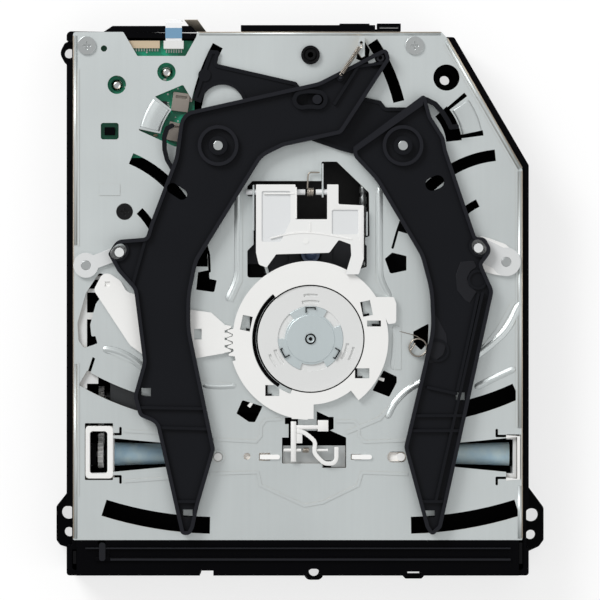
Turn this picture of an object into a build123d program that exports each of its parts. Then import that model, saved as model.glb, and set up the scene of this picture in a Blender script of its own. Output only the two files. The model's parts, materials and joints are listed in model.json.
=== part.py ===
from build123d import *
import os
from math import atan2, cos, degrees, hypot, pi, radians, sin, tan

os.makedirs("parts", exist_ok=True)

# Driving sizes, in millimetres and degrees. The spindle axis is X = Y = 0, the rear is +Y.

# Case
case_left = -78.1
case_right = 69.9
case_rear = 98.5
case_front = -75.8
wall = 1.8
cover_thickness = 0.8
floor_thickness = 1.6
case_height = 22.0
plate_thickness = 1.0
plate_gap = 0.3
plate_front = -64.4
flange_depth = 7.0
slant_x = 46.0
slant_y = 55.6
flush_depth = 0.6
ear_hole = 1.62
slot_hole = 2.2

# Disc path
disc_diameter = 120.0
roller_y = -37.2
roller_z = 12.7
roller_end_radius = 3.8
roller_mid_radius = 2.5
shaft_radius = 1.0
roller_left = -64.3
roller_right = 64.0
sleeve_length = 40.0

# Arms and their links
pivot_x = 29.5
pivot_y = 61.7
pivot_pin = 1.5
running_gap = 0.05
side_gap = 0.3
lever_thickness = 1.1
arm_floor = 1.0
arm_height = 2.8
rib = 1.2
swing_out = 11.6
swing_in = 0.5
slot_spare = 1.7
pin_reach = 121.4
pin_rest_angle = 4.7
pin_radius = 2.1
link_ratio = 4.5
link_pin = 1.5
left_link_x = -71.8
left_link_y = 23.5
right_link_x = 62.6
right_link_y = 24.6

# Clamping ring and its sector lever
sector_centres = 51.75
full_teeth = 65
ring_bore = 17.3
ring_outer = 24.9
clamper_radius = 16.9
cap_radius = 10.4
plate_bore = 17.4

# Disc drive below the plate
turntable_radius = 14.0
turntable_top = 15.4
rod_radius = 1.0
rod_spacing = 44.0
screw_radius = 1.2
gear_module = 0.5
roller_teeth = 16
idler_teeth = 24
motor_teeth = 12

# Heights that follow from the sizes above
floor_top = cover_thickness + floor_thickness
plate_low = case_height
plate_top = plate_low + plate_thickness
lever_low = plate_top + side_gap
lever_top = lever_low + lever_thickness
arm_low = lever_top + side_gap
arm_top = arm_low + arm_height
ear_top = floor_top + 3.0
inner_left = case_left + wall + plate_gap
inner_right = case_right - wall - plate_gap
inner_rear = case_rear - plate_gap
tooth_pitch_radius = sector_centres / 2
ring_module = sector_centres / full_teeth


def polar(centre, radius, angle):
    """Point at a distance and an angle from a centre."""
    return (centre[0] + radius * cos(radians(angle)), centre[1] + radius * sin(radians(angle)))


def turned(point, centre, angle):
    """Point turned about a centre."""
    x, y = point[0] - centre[0], point[1] - centre[1]
    c, s = cos(radians(angle)), sin(radians(angle))
    return (centre[0] + x * c - y * s, centre[1] + x * s + y * c)


def outline(points, centre=(0, 0)):
    """Closed face through corners (x, y, corner radius), measured from a centre."""
    corners = [Vector(p[0] + centre[0], p[1] + centre[1]) for p in points]
    radii = [p[2] if len(p) > 2 else 0 for p in points]
    starts, edges = [], []
    count = len(corners)
    for i, here in enumerate(corners):
        back, ahead = corners[i - 1] - here, corners[(i + 1) % count] - here
        half = radians(back.get_angle(ahead)) / 2
        if radii[i] == 0 or half > 1.55:
            starts.append((here, here, None))
            continue
        reach = min(radii[i] / tan(half), 0.45 * back.length, 0.45 * ahead.length)
        radius = reach * tan(half)
        middle = (back.normalized() + ahead.normalized()).normalized() * (radius / sin(half) - radius)
        starts.append((here + back.normalized() * reach, here + ahead.normalized() * reach, here + middle))
    for i, (enter, leave, middle) in enumerate(starts):
        if middle is not None:
            edges.append(ThreePointArc(enter, middle, leave))
        edges.append(Line(leave, starts[(i + 1) % count][0]))
    return make_face(Wire(edges))


def block(face, low, high):
    """Face raised from one height to another."""
    return Pos(0, 0, low) * extrude(face, amount=high - low, dir=(0, 0, 1))


def box(x0, x1, y0, y1, z0, z1):
    return Pos(x0, y0, z0) * Box(x1 - x0, y1 - y0, z1 - z0, align=(Align.MIN, Align.MIN, Align.MIN))


def post(centre, radius, low, high):
    return Pos(centre[0], centre[1], low) * Cylinder(radius, high - low, align=(Align.CENTER, Align.CENTER, Align.MIN))


def tube(centre, outer, inner, low, high):
    return post(centre, outer, low, high) - post(centre, inner, low, high)


def bar_x(x0, x1, y, z, radius):
    """Round bar along X."""
    return Pos((x0 + x1) / 2, y, z) * Rot(0, 90, 0) * Cylinder(radius, x1 - x0)


def bar_y(y0, y1, x, z, radius):
    """Round bar along Y."""
    return Pos(x, (y0 + y1) / 2, z) * Rot(90, 0, 0) * Cylinder(radius, y1 - y0)


def arc_slot(centre, inner, outer, start, end):
    """Face between two radii and two angles about a centre."""
    a, b = polar(centre, inner, start), polar(centre, outer, start)
    c, d = polar(centre, outer, end), polar(centre, inner, end)
    mid = (start + end) / 2
    edges = [Line(a, b), ThreePointArc(b, polar(centre, outer, mid), c)]
    edges += [Line(c, d), ThreePointArc(d, polar(centre, inner, mid), a)]
    return make_face(Wire(edges))


def path_slot(points, width, low, high):
    """Slot that a pin of a width sweeps along points."""
    body = post(points[0], width / 2, low, high)
    for (x0, y0), (x1, y1) in zip(points, points[1:]):
        length = hypot(x1 - x0, y1 - y0)
        turn = degrees(atan2(y1 - y0, x1 - x0))
        run = Pos((x0 + x1) / 2, (y0 + y1) / 2, low) * Rot(0, 0, turn)
        body += run * Box(length, width, high - low, align=(Align.CENTER, Align.CENTER, Align.MIN))
        body += post((x1, y1), width / 2, low, high)
    return body


def teeth(centre, radius, module, full, first, last, turn=0.0, slack=0.12):
    """Teeth of a gear as separate faces, counted from the tooth at an angle of 0."""
    faces = []
    for i in range(first, last + 1):
        middle = turn + 360 * i / full
        half = degrees((pi * module / 4 - slack / 2) / radius)
        low, high = radius - 1.15 * module, radius + 0.95 * module
        lean = degrees(0.36 * module / radius)
        pts = [polar(centre, low - module, middle - half - lean), polar(centre, low, middle - half - lean)]
        pts += [polar(centre, high, middle - half + lean), polar(centre, high, middle + half - lean)]
        pts += [polar(centre, low, middle + half + lean), polar(centre, low - module, middle + half + lean)]
        faces.append(outline([(x, y, 0) for x, y in pts]))
    return faces


def spur_gear(count, thickness, bore, turn=0.0):
    """Gear about Z with its low face at 0."""
    radius = gear_module * count / 2
    gear = post((0, 0), radius - 1.15 * gear_module, 0, thickness)
    for face in teeth((0, 0), radius, gear_module, count, 0, count - 1, turn):
        gear += block(face, 0, thickness)
    return gear - post((0, 0), bore, 0, thickness)


LEFT_PIVOT = (-pivot_x, pivot_y)
RIGHT_PIVOT = (pivot_x, pivot_y)
LEFT_LINK = (left_link_x, left_link_y)
RIGHT_LINK = (right_link_x, right_link_y)
SECTOR = (-sector_centres, 0)
LEFT_PIN = polar(LEFT_PIVOT, pin_reach, 270 - pin_rest_angle)
RIGHT_PIN = polar(RIGHT_PIVOT, pin_reach, 270 + pin_rest_angle)
LEFT_REAR_PIN = (LEFT_PIVOT[0] + 52.4, LEFT_PIVOT[1] + 28.2)
RIGHT_REAR_PIN = (RIGHT_PIVOT[0] - 63.4, RIGHT_PIVOT[1] + 22.6)
CROSS_PIN = (RIGHT_PIVOT[0] - 27.4, RIGHT_PIVOT[1] + 14.7)
LEFT_LINK_PIN = (left_link_x + 10.8, left_link_y + 4.1)
RIGHT_LINK_PIN = (right_link_x - 9.0, right_link_y + 4.4)
SWINGS = [-swing_in + (swing_out + swing_in) * i / 6 for i in range(7)]
CORNER_SCREWS = [(inner_left + 4.4, inner_rear - 4.4), (33.3, inner_rear - 4.4)]
BOARD_SCREWS = [(-62.0, 81.3), (-46.1, 85.4)]
THROUGH_HOLE = (43.5, 83.6)
FLUSH_SCREW = (-59.5, 40.7)
GUIDE_PIN = (-29.6, -37.8)
GUIDE_SLOT = (28.9, -37.8)


def case_outline(inset=0.0):
    """Corners of the case seen from above, moved inwards by an inset."""
    left, right = case_left + inset, case_right - inset
    rear, front = case_rear - inset, case_front + inset
    slant = inset * 0.55
    return [(left, front, 1.0), (right, front, 1.0), (right, slant_y - slant, 1.0),
            (slant_x - slant, rear - 1.9, 1.0), (left, rear, 1.5)]


def ear(points, holes):
    """Flat fixing ear with round holes."""
    lug = block(outline(points), cover_thickness, ear_top)
    for centre, radius in holes:
        lug -= post(centre, radius, cover_thickness, ear_top)
    return lug


# Boxes x0, x1, y0, y1 cut out of the outer face of the wall above the ears, so that a screw head has room.
EAR_NOTCHES = [(case_left, case_left + wall - 0.05, 89.2, 95.6), (case_left, case_left + wall - 0.05, -66.2, -53.6),
               (case_right - 0.8, case_right, -66.9, -54.4), (-2.3, 4.5, case_front, case_front + wall - 0.05)]
EAR_PADS = [(case_left + wall, case_left + wall + 1.5, 87.9, 96.9, case_height),
            (case_left + wall, case_left + wall + 1.5, -67.5, -52.3, case_height),
            (-3.7, 5.9, case_front + wall, case_front + wall + 1.5, roller_z + 3.6)]
EAR_HOLES = {"rear_left": (case_left - 0.1, 92.4), "front_left": (case_left - 0.1, -62.8),
             "front_left_big": (case_left - 0.4, -56.5), "front_right": (case_right + 1.5, -63.7),
             "front_right_big": (case_right + 1.8, -57.3), "front_tab": (1.1, case_front + 0.1)}
SCREW_SEATS = CORNER_SCREWS + [(inner_left + 5, -58.0), (inner_right - 3.2, -62.2)]


def make_bottom_cover():
    cover = block(outline(case_outline(1.0)), 0, cover_thickness)
    cover -= post(THROUGH_HOLE, 2.0, 0, cover_thickness)
    for centre in BOTTOM_SCREWS:
        cover -= post(centre, 1.2, 0, cover_thickness)
    for centre in EAR_HOLES.values():
        cover -= post(centre, slot_hole + 0.4, 0, cover_thickness)
    return cover


BOTTOM_SCREWS = [(-70.0, 40.0), (62.0, 40.0), (-70.0, -68.0), (62.0, -68.0)]


def make_chassis():
    """Moulded case frame: walls, floor with the deck window, ears, tabs and bosses."""
    low, high = cover_thickness, case_height
    frame = block(outline(case_outline()), low, high)
    frame -= block(outline(case_outline(wall)), floor_top, high)
    frame -= box(-25, 25, -12, 62, low, floor_top)
    left, right, front = case_left, case_right, case_front
    frame += ear([(left + 1, -47.8, 1), (left - 4.2, -54.4, 1), (left - 4.2, -65.4, 1.5), (left - 3, -67, 1),
                  (left + 1, -68.2, 0)], [(EAR_HOLES["front_left"], ear_hole), (EAR_HOLES["front_left_big"], slot_hole)])
    frame += ear([(right - 1, -45.8, 1), (right - 1, -69.8, 0), (right + 4.2, -67.4, 1.5), (right + 5.7, -65.3, 1),
                  (right + 5.7, -54.8, 2)], [(EAR_HOLES["front_right"], ear_hole),
                                             (EAR_HOLES["front_right_big"], slot_hole)])
    frame += ear([(left + 1, 96.5, 0), (left + 1, 87.8, 0), (left - 1.5, 89.2, 1.5), (left - 3.2, 92.4, 3),
                  (left - 1.5, 95.8, 1.5)], [(EAR_HOLES["rear_left"], ear_hole)])
    x, y = EAR_HOLES["front_tab"]
    frame += block(outline([(x - 3.6, front + 1, 0), (x - 2.6, y - 2.6, 2), (x + 2.6, y - 2.6, 2),
                            (x + 3.6, front + 1, 0)]), low, ear_top)
    frame += block(outline([(27.8, front + 1, 0), (30.8, front - 2.1, 0.6), (36.0, front - 2.1, 0.6),
                            (39.0, front + 1, 0)]), low, ear_top)
    for x0, x1, y0, y1, top in EAR_PADS:
        frame += box(x0 - 0.1, x1, y0, y1, floor_top, top)
    for x0, x1, y0, y1 in EAR_NOTCHES:
        frame -= box(x0, x1, y0, y1, ear_top, high)
    frame -= post((x, y), ear_hole, low, ear_top)
    frame -= box(31.0, 35.4, front - 0.6, front + 1.3, low, high)
    frame -= box(-35.4, -31.1, front, front + 1.6, low, high)
    for name in ("front_left", "front_right", "rear_left"):
        frame -= post(EAR_HOLES[name], ear_hole, low, ear_top)
    for name in ("front_left_big", "front_right_big"):
        frame -= post(EAR_HOLES[name], slot_hole, low, ear_top)
    frame -= box(-disc_diameter / 2 - 3, disc_diameter / 2 + 3, front, front + wall, roller_z + 3.6, high)
    frame += block(outline([(-66.4, inner_rear, 0), (-63.4, inner_rear + 2, 0.4), (-38.2, inner_rear + 2, 0.4),
                            (-36.4, inner_rear, 0)]), high - 2.0, high)
    for x, y in SCREW_SEATS:
        frame += post((x, y), 2.6, floor_top, high) - post((x, y), 1.0, floor_top + 6, high)
    for x in (roller_left - 6.2, roller_right + 0.6):
        cheek = box(x, x + 1.5, roller_y - 3.5, roller_y + 3.5, floor_top, roller_z + 3.4)
        frame += cheek - bar_x(x, x + 1.5, roller_y, roller_z, shaft_radius + running_gap)
    frame += post(THROUGH_HOLE, 4.9, floor_top, high - 0.3) - post(THROUGH_HOLE, 4.0, 12.0, high)
    frame -= post(THROUGH_HOLE, 2.3, 8.0, 12.0) + post(THROUGH_HOLE, ear_hole, low, 8.0)
    for centre in BOTTOM_SCREWS:
        frame += post(centre, 2.4, floor_top, floor_top + 3) - post(centre, 0.9, floor_top, floor_top + 3)
        frame -= post(centre, 0.9, low, floor_top)
    for x in (-1, 1):
        for y in (-20, 68):
            frame += post((x * DAMPER_X, y), 1.4, floor_top, floor_top + 5.6)
    frame += box(IDLER[0] - 3.0, IDLER[0] - 1.2, IDLER[1] - 2, IDLER[1] + 2, floor_top, IDLER[2] + 2)
    frame += bar_x(IDLER[0] - 1.6, IDLER[0] + 1.3, IDLER[1], IDLER[2], 1.0)
    return frame


def make_front_guide():
    """Moulded bar over the disc slot, with a ridge along it."""
    left, right = inner_left + plate_thickness + 0.1, inner_right - plate_thickness - 0.1
    low = case_height
    bar = box(left, right, case_front, plate_front - 0.2, low, plate_top)
    bar += box(left + 6, right - 3, plate_front - 6.7, plate_front - 5.5, plate_top, plate_top + 0.8)
    bar += box(left + 8.9, left + 10.5, plate_front - 6.6, plate_front - 1.8, plate_top, plate_top + 0.5)
    bar -= box(-35.4, -31.1, case_front, case_front + 1.6, low, plate_top)
    bar -= post((-66.8, plate_front - 0.8), 1.2, low, plate_top)
    bar -= post(EAR_HOLES["front_tab"], ear_hole + 0.6, low, plate_top)
    bar -= box(31.0, 35.4, case_front - 0.6, case_front + 1.3, low, plate_top)
    return bar


def plate_windows():
    """Faces cut from the top plate."""
    left, right = LEFT_PIVOT, RIGHT_PIVOT
    pin_angle = degrees(pin_radius / pin_reach)
    lead = pin_angle + 0.25
    half = pin_radius + side_gap + 0.3
    out, back = pin_rest_angle + swing_out + lead, pin_rest_angle - swing_in - slot_spare - lead
    faces = [arc_slot(left, pin_reach - half, pin_reach + half, 270 - out, 270 - back)]
    faces.append(arc_slot(right, pin_reach - half, pin_reach + half, 270 + back, 270 + out))
    reach = hypot(RIGHT_REAR_PIN[0] - right[0], RIGHT_REAR_PIN[1] - right[1])
    faces.append(arc_slot(right, reach - 1.8, reach + 1.8, 151.5, 177.0))
    reach = hypot(LEFT_REAR_PIN[0] - left[0], LEFT_REAR_PIN[1] - left[1])
    faces.append(arc_slot(left, reach - 1.8, reach + 1.8, 13.8, 34.0))
    faces.append(outline([(14.6, 89.6, 0), (16.2, 96.9, 0.5), (19.0, 92.5, 0), (18.2, 88.0, 0)]))
    for centre, reach, width, start, end in LINK_SLOTS:
        faces.append(arc_slot(centre, reach - width / 2, reach + width / 2, start, end))
    faces.append(arc_slot(right, 14.0, 19.0, 5.6, 42.0))
    faces.append(arc_slot(right, 18.9, 26.1, 7.4, 11.2))
    faces.append(arc_slot(right, 18.9, 26.1, 37.7, 40.9))
    faces.append(arc_slot(left, 83.3, 88.6, 239.7, 257.0))
    faces.append(outline([(-69.7, -5.8, 0), (-68.9, -6.3, 0), (-70.5, -11.2, 0), (-71.5, -11.2, 0)]))
    faces.append(arc_slot(right, 83.8, 89.1, 283.0, 294.8))
    faces.append(outline([(-67.4, 21.4, 1), (-71.9, 14.6, 3), (-74.6, 4.9, 4), (-74.2, -0.6, 1), (-72.5, -3.0, 1),
                          (-68.2, -1.5, 0.3), (-68.8, 0.9, 0.3), (-70.1, 0.7, 0.5), (-70.5, 4.5, 3),
                          (-68.2, 13.0, 3), (-64.5, 19.0, 1)]))
    faces.append(arc_slot(SECTOR, 20.3, 23.5, 121.5, 150.0))
    faces.append(outline([(-55.1, 66.8, 0.5), (-49.6, 77.6, 0.5), (-40.8, 81.3, 0.5), (-37.0, 75.0, 0.5),
                          (-39.4, 61.5, 1), (-43.4, 61.5, 1)]))
    faces.append(outline([(-20.2, 45.6, 0.5), (-20.2, 48.8, 0.8), (-18.6, 50.5, 0.8), (3.5, 50.5, 0.3),
                          (3.5, 56.7, 0.5), (8.4, 56.7, 0.3), (18.7, 46.8, 1), (18.9, 32.9, 0.4), (17.5, 32.4, 0),
                          (17.5, 30.2, 0), (18.0, 29.8, 0.4), (18.0, 23.0, 0.4), (11.0, 21.0, 0), (-12.5, 21.0, 0),
                          (-14.6, 19.6, 0.5), (-20.2, 19.6, 0.8), (-20.2, 28.2, 0.8), (-18.2, 30.2, 0),
                          (-18.2, 45.6, 0)]))
    faces.append(outline([(-8.2, -25.2, 0), (-8.2, -27.3, 0), (-7.0, -27.3, 0), (-7.0, -31.6, 0), (-9.1, -31.6, 0),
                          (-9.1, -39.9, 0.3), (3.7, -39.9, 0), (3.7, -41.3, 0.3), (11.4, -41.3, 0.3),
                          (11.4, -31.6, 0.3), (6.2, -29.3, 0), (7.4, -28.8, 0), (7.4, -25.0, 0), (5.8, -25.0, 0),
                          (2.0, -23.2, 0), (2.0, -29.4, 0), (-4.0, -29.4, 0), (-4.0, -25.2, 0)]))
    faces.append(outline([(-21.8, -19.6, 0.5), (-23.7, -23.9, 0.3), (-19.7, -26.6, 0.5), (-17.8, -26.7, 0.5),
                          (-15.3, -21.6, 0.3)]))
    faces.append(outline([(23.4, -10.1, 0.3), (27.6, -12.1, 0.5), (27.6, -14.0, 0.5), (25.2, -18.6, 0.5),
                          (19.8, -16.5, 0.3)]))
    faces.append(outline([(-36.0, 21.3, 0.3), (-32.5, 22.0, 0.3), (-32.3, 19.2, 0.3), (-30.0, 18.7, 0.3),
                          (-30.8, 14.9, 0.6), (-36.6, 15.7, 0.3)]))
    faces.append(outline([(23.8, 25.6, 0.3), (26.1, 27.6, 0.3), (30.7, 26.5, 0.3), (30.7, 21.9, 0.3),
                          (25.5, 20.8, 0.8)]))
    faces.append(outline([(32.9, 2.3, 0.3), (37.8, 4.9, 0.3), (37.6, -1.4, 0.3), (35.4, -3.6, 0.3), (33.0, -1.4, 0)]))
    faces.append(outline([(-72.2, -27.0, 0.3), (-72.2, -45.2, 0.3), (-63.2, -45.2, 0.3), (-63.2, -42.6, 0),
                          (-44.0, -40.8, 1), (-44.0, -33.6, 1), (-63.2, -31.8, 0), (-63.2, -27.0, 0.3)]))
    faces.append(outline([(67.4, -30.6, 0.3), (67.4, -44.9, 0.3), (62.6, -44.9, 0.3), (62.6, -42.6, 0),
                          (44.0, -40.8, 1), (44.0, -33.6, 1), (62.6, -31.8, 0), (62.6, -30.6, 0.3)]))
    faces.append(outline([(-16.5, -36.5, 0.2), (-12.9, -36.5, 0.2), (-12.9, -39.0, 0.2), (-16.5, -39.0, 0.2)]))
    faces.append(outline([(12.9, -36.9, 0.2), (16.2, -36.9, 0.2), (16.2, -38.7, 0.2), (12.9, -38.7, 0.2)]))
    faces.append(outline([(-67.1, 69.1, 0.8), (-61.4, 69.1, 0.8), (-61.4, 63.8, 0.8), (-67.1, 63.8, 0.8)]))
    faces.append(outline([(24.6, -36.1, 1.6), (30.6, -36.1, 1.6), (30.6, -39.5, 1.6), (24.6, -39.5, 1.6)]))
    return faces


LINK_TURN_OUT = link_ratio * swing_out
LINK_TURN_IN = link_ratio * (swing_in + slot_spare)
FOOT_A = (37.1, 1.55, 3.7)
FOOT_B = (24.4, 1.0, 2.6)


def link_feet():
    """Feet of both links that run in arched slots: centre, reach, foot radius, slot width, rest angle, sign."""
    feet = []
    for centre, sign, ends in ((LEFT_LINK, 1, (67.2, 45.6)), (RIGHT_LINK, -1, (96.0, 116.2))):
        for (reach, radius, width), end in zip((FOOT_A, FOOT_B), ends):
            lead = degrees((radius + side_gap) / reach)
            if sign < 0:
                reach = reach - 2.8 if reach > 30 else reach - 3.5
            feet.append((centre, reach, radius, width, end - sign * (lead + LINK_TURN_OUT), sign))
    return feet


def link_slots():
    slots = []
    for centre, reach, radius, width, rest, sign in link_feet():
        lead = degrees((radius + side_gap) / reach)
        a = rest - sign * (LINK_TURN_IN + lead)
        b = rest + sign * (LINK_TURN_OUT + lead)
        slots.append((centre, reach, width, min(a, b), max(a, b)))
    return slots


LINK_SLOTS = link_slots()


def make_top_plate():
    """Pressed steel cover: slots, windows, folded flanges, raised beads and bent tabs."""
    front, left, right, rear = plate_front, inner_left, inner_right, inner_rear
    sheet = block(outline([(left, front, 0.5), (right, front, 0.5), (right, slant_y - 1.4, 1), (44.1, rear - 2.4, 1),
                           (41.9, rear, 1), (-36.2, rear, 0.5), (-36.6, rear - 1.6, 0.5), (-40.0, rear - 7.7, 0.5),
                           (-55.4, rear - 7.7, 0.5), (-59.9, rear, 0.5), (left, rear, 1)]), plate_low, plate_top)
    side = plate_thickness
    for y0, y1 in ((front - 7.6, -67.9), (-51.9, 87.5)):
        sheet += box(left, left + side, y0, y1, plate_low - flange_depth, plate_top)
    for y0, y1 in ((front - 7.6, -65.2), (-59.2, 52)):
        sheet += box(right - side, right, y0, y1, plate_low - flange_depth, plate_top)
    cuts = [block(face, plate_low, plate_top) for face in plate_windows()]
    cuts.append(post((0, 0), plate_bore, plate_low, plate_top))
    for points in PLATE_SLITS:
        cuts.append(path_slot(points, 0.8, plate_low, plate_top))
    for centre, radius in PLATE_HOLES:
        cuts.append(post(centre, radius, plate_low, plate_top))
    cuts.append(post(FLUSH_SCREW, 2.7, plate_top - flush_depth, plate_top))
    sheet = sheet - cuts
    lip = plate_low - 1.6
    sheet += block(arc_slot(RIGHT_PIVOT, 83.0, 83.8, 284.0, 294.0), lip, plate_low + 0.2)
    sheet += block(arc_slot(LEFT_PIVOT, 82.5, 83.3, 243.5, 256.0), lip, plate_low + 0.2)
    for centre, radius in BEAD_RINGS:
        sheet += tube(centre, radius + 0.5, radius, plate_low + 0.5, plate_top + 0.25)
    for face in plate_beads():
        sheet += block(face, plate_top - 0.2, plate_top + 0.22)
    tab = block(outline([(15.7, 96.6, 0.4), (17.3, 96.6, 0.4), (17.3, 90.2, 0.4), (16.3, 89.7, 0.3), (14.6, 92.3, 0.3)]),
                plate_low, arm_top)
    tab -= post(SPRING_HOOK, 0.5, plate_low, arm_top)
    return sheet + tab + box(16.2, 20.0, 95.6, 97.6, plate_low, plate_top)


PLATE_SLITS = [[(-33.6, 31.0), (-32.5, 26.8), (-32.3, 21.6)], [(29.2, 38.5), (27.7, 34.2), (26.3, 29.2)],
               [(-62.9, -30.5), (-60.8, -30.5), (-60.8, -28.6)], [(-62.9, -44.0), (-60.8, -44.0), (-60.8, -46.0)],
               [(63.6, -31.1), (59.6, -31.1), (59.6, -29.2)], [(63.6, -44.5), (59.6, -44.5), (59.6, -46.5)]]
SPRING_HOOK = (16.2, 94.5)
PLATE_HOLES = [(p, 1.3) for p in CORNER_SCREWS] + [(p, 2.95) for p in BOARD_SCREWS]
PLATE_HOLES += [(GUIDE_PIN, 1.45), (THROUGH_HOLE, 4.2), ((-66.1, 92.9), 1.0), ((-20.3, -37.6), 1.1)]
PLATE_HOLES += [((0, 90.8), 1.7), (FLUSH_SCREW, 1.3)]
PLATE_HOLES += [(p, pivot_pin) for p in (LEFT_PIVOT, RIGHT_PIVOT, LEFT_LINK, RIGHT_LINK, SECTOR)]
BEAD_RINGS = [(GUIDE_PIN, 1.7)]


def bead(points, width=0.9):
    """Raised line of straight runs, as one face for each run."""
    faces = []
    for (x0, y0), (x1, y1) in zip(points, points[1:]):
        length = hypot(x1 - x0, y1 - y0)
        middle = Pos((x0 + x1) / 2, (y0 + y1) / 2) * Rot(0, 0, degrees(atan2(y1 - y0, x1 - x0)))
        faces.append(middle * Rectangle(length + width * 0.8, width))
    return faces


def plate_beads():
    """Stiffening beads pressed up in the sheet."""
    faces = bead([(-30.6, -32.2), (-17.5, -32.9), (-15.9, -31.0), (-15.9, -28.0), (-14.3, -25.9), (-9.6, -25.7)])
    faces += bead([(-32.0, -43.2), (-16.9, -42.7), (-16.0, -46.9), (-2.0, -53.4), (3.8, -52.4), (15.2, -46.9),
                   (16.4, -42.8), (30.8, -43.3)])
    faces += bead([(8.4, -26.4), (14.1, -26.4), (15.4, -28.0), (15.5, -31.0), (17.2, -33.0), (30.1, -32.5)])
    faces += bead([(-59.5, -29.5), (-48.8, -30.1)]) + bead([(-59.5, -45.6), (-45.6, -44.6)])
    faces += bead([(-22.6, 47.6), (-22.6, 18.8), (-25.4, 12.7)], 1.6)
    faces += bead([(21.8, 47.6), (21.8, 18.8), (24.6, 13.4)], 1.6)
    faces += bead([(28.0, 3.0), (28.0, -9.0)], 2.0)
    faces += bead([(-66.1, 47.7), (-62.4, 47.7)], 3.6) + bead([(-74.3, 86), (-74.3, 30)], 0.6)
    faces += bead([(43.0, 94.0), (66.0, 54.2), (66.0, -28.0)], 0.6) + bead([(-74.3, -8), (-74.3, -50)], 0.6)
    faces += bead([(-65.1, -3.6), (-60.0, -6.0), (-56.5, -7.4)], 1.2) + bead([(-38.6, -13.8), (-25.8, -14.8)], 1.2)
    faces += bead([(12.0, -29.8), (22.0, -25.6), (33.0, -14.4)], 1.2)
    faces += bead([(53.6, -5.2), (60.0, 3.0), (65.1, 11.8)], 1.2)
    return faces


LEFT_ARM = [(53.8, 31.3, 2), (32.1, 20.2, 10), (-11.8, 10.4, 5.5), (-13.7, -3.8, 15), (-21.7, -25.0, 8),
            (-23.0, -29.4, 1.5), (-32.3, -30.1, 3.5), (-35.1, -34.6, 1), (-32.0, -40.2, 3), (-26.8, -46.0, 4),
            (-23.9, -69.1, 6), (-27.0, -80.0, 4), (-25.2, -86.4, 2.5), (-19.8, -88.6, 3.5), (-11.8, -124.2, 1.5),
            (-8.9, -124.3, 2), (-7.7, -121.9, 1.2), (-6.3, -115.2, 5), (-1.0, -97.0, 2.5), (-8.9, -58.9, 30),
            (-8.9, -48.0, 30), (-6.7, -37.1, 12), (7.1, -15.0, 20), (14.1, -3.5, 8), (20.9, -0.2, 6),
            (39.4, 3.8, 2.5), (54.9, 27.5, 2)]
RIGHT_ARM = [(7.0, 16.6, 1.0), (9.0, 9.2, 3), (13.2, 2.6, 5), (14.0, -1.6, 3), (23.3, -29.2, 1), (26.2, -29.4, 2),
             (28.4, -33.6, 3), (25.2, -38.0, 1), (28.9, -46.4, 4), (19.5, -89.6, 5), (12.3, -121.9, 2),
             (9.2, -124.8, 2), (7.3, -121.9, 2), (0.4, -96.3, 3), (9.2, -58.9, 30), (8.6, -46.1, 30),
             (5.7, -35.2, 12), (-8.7, -10.9, 20), (-15.8, -3.4, 4), (-15.8, -0.5, 0.5)]
RIGHT_LOW = [(6.2, 14.8, 0), (1.3, 12.3, 0), (-5.5, 12.3, 1), (-7.0, 14.4, 1), (-11.7, 15.4, 1), (-33.0, 18.8, 2),
             (-34.0, 20.4, 1), (-59.4, 26.2, 0.5), (-58.6, 30.4, 0.6), (-61.7, 30.7, 0.6), (-67.3, 14.7, 1),
             (-63.0, 13.2, 1), (-32.7, 2.9, 2), (-19.8, -1.5, 4), (-14.0, -3.0, 0), (0, 0, 0)]


def tray(points, centre, low, floor, high):
    """Arm body: a floor with a rib all round it."""
    face = outline(points, centre)
    body = block(face, low, high)
    return body - block(offset(face, -rib), low + floor, high), face


def hub(body, centre, low):
    """Pivot boss with a ring rib round it and a running bore."""
    body += post(centre, 6.5, arm_low, arm_low + arm_floor)
    body += tube(centre, 6.5, 5.4, low, arm_top)
    body += post(centre, 3.0, low, arm_top - 0.3)
    return body - post(centre, pivot_pin + running_gap, low, arm_top)


def arm_foot(centre, radius):
    """Peg under an arm through its slot, with a collar that hooks under the plate."""
    foot = post(centre, radius, plate_low - 3.4, arm_low + 0.2)
    return foot + post(centre, radius + 0.15, plate_low - 3.4, plate_low - 0.4)


def swept(point, centre, own_sign, other, other_sign, ratio=1.0):
    """Path of a pin that turns about one centre, seen from a part that turns about another."""
    return [turned(turned(point, centre, own_sign * ratio * a), other, -other_sign * a) for a in SWINGS]


def cross_ribs(body, face, runs, low):
    for x0, y0, x1, y1 in runs:
        run = path_slot([(x0, y0), (x1, y1)], 0.9, low, arm_top - 0.6)
        body += run & block(face, low, arm_top)
    return body


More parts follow.
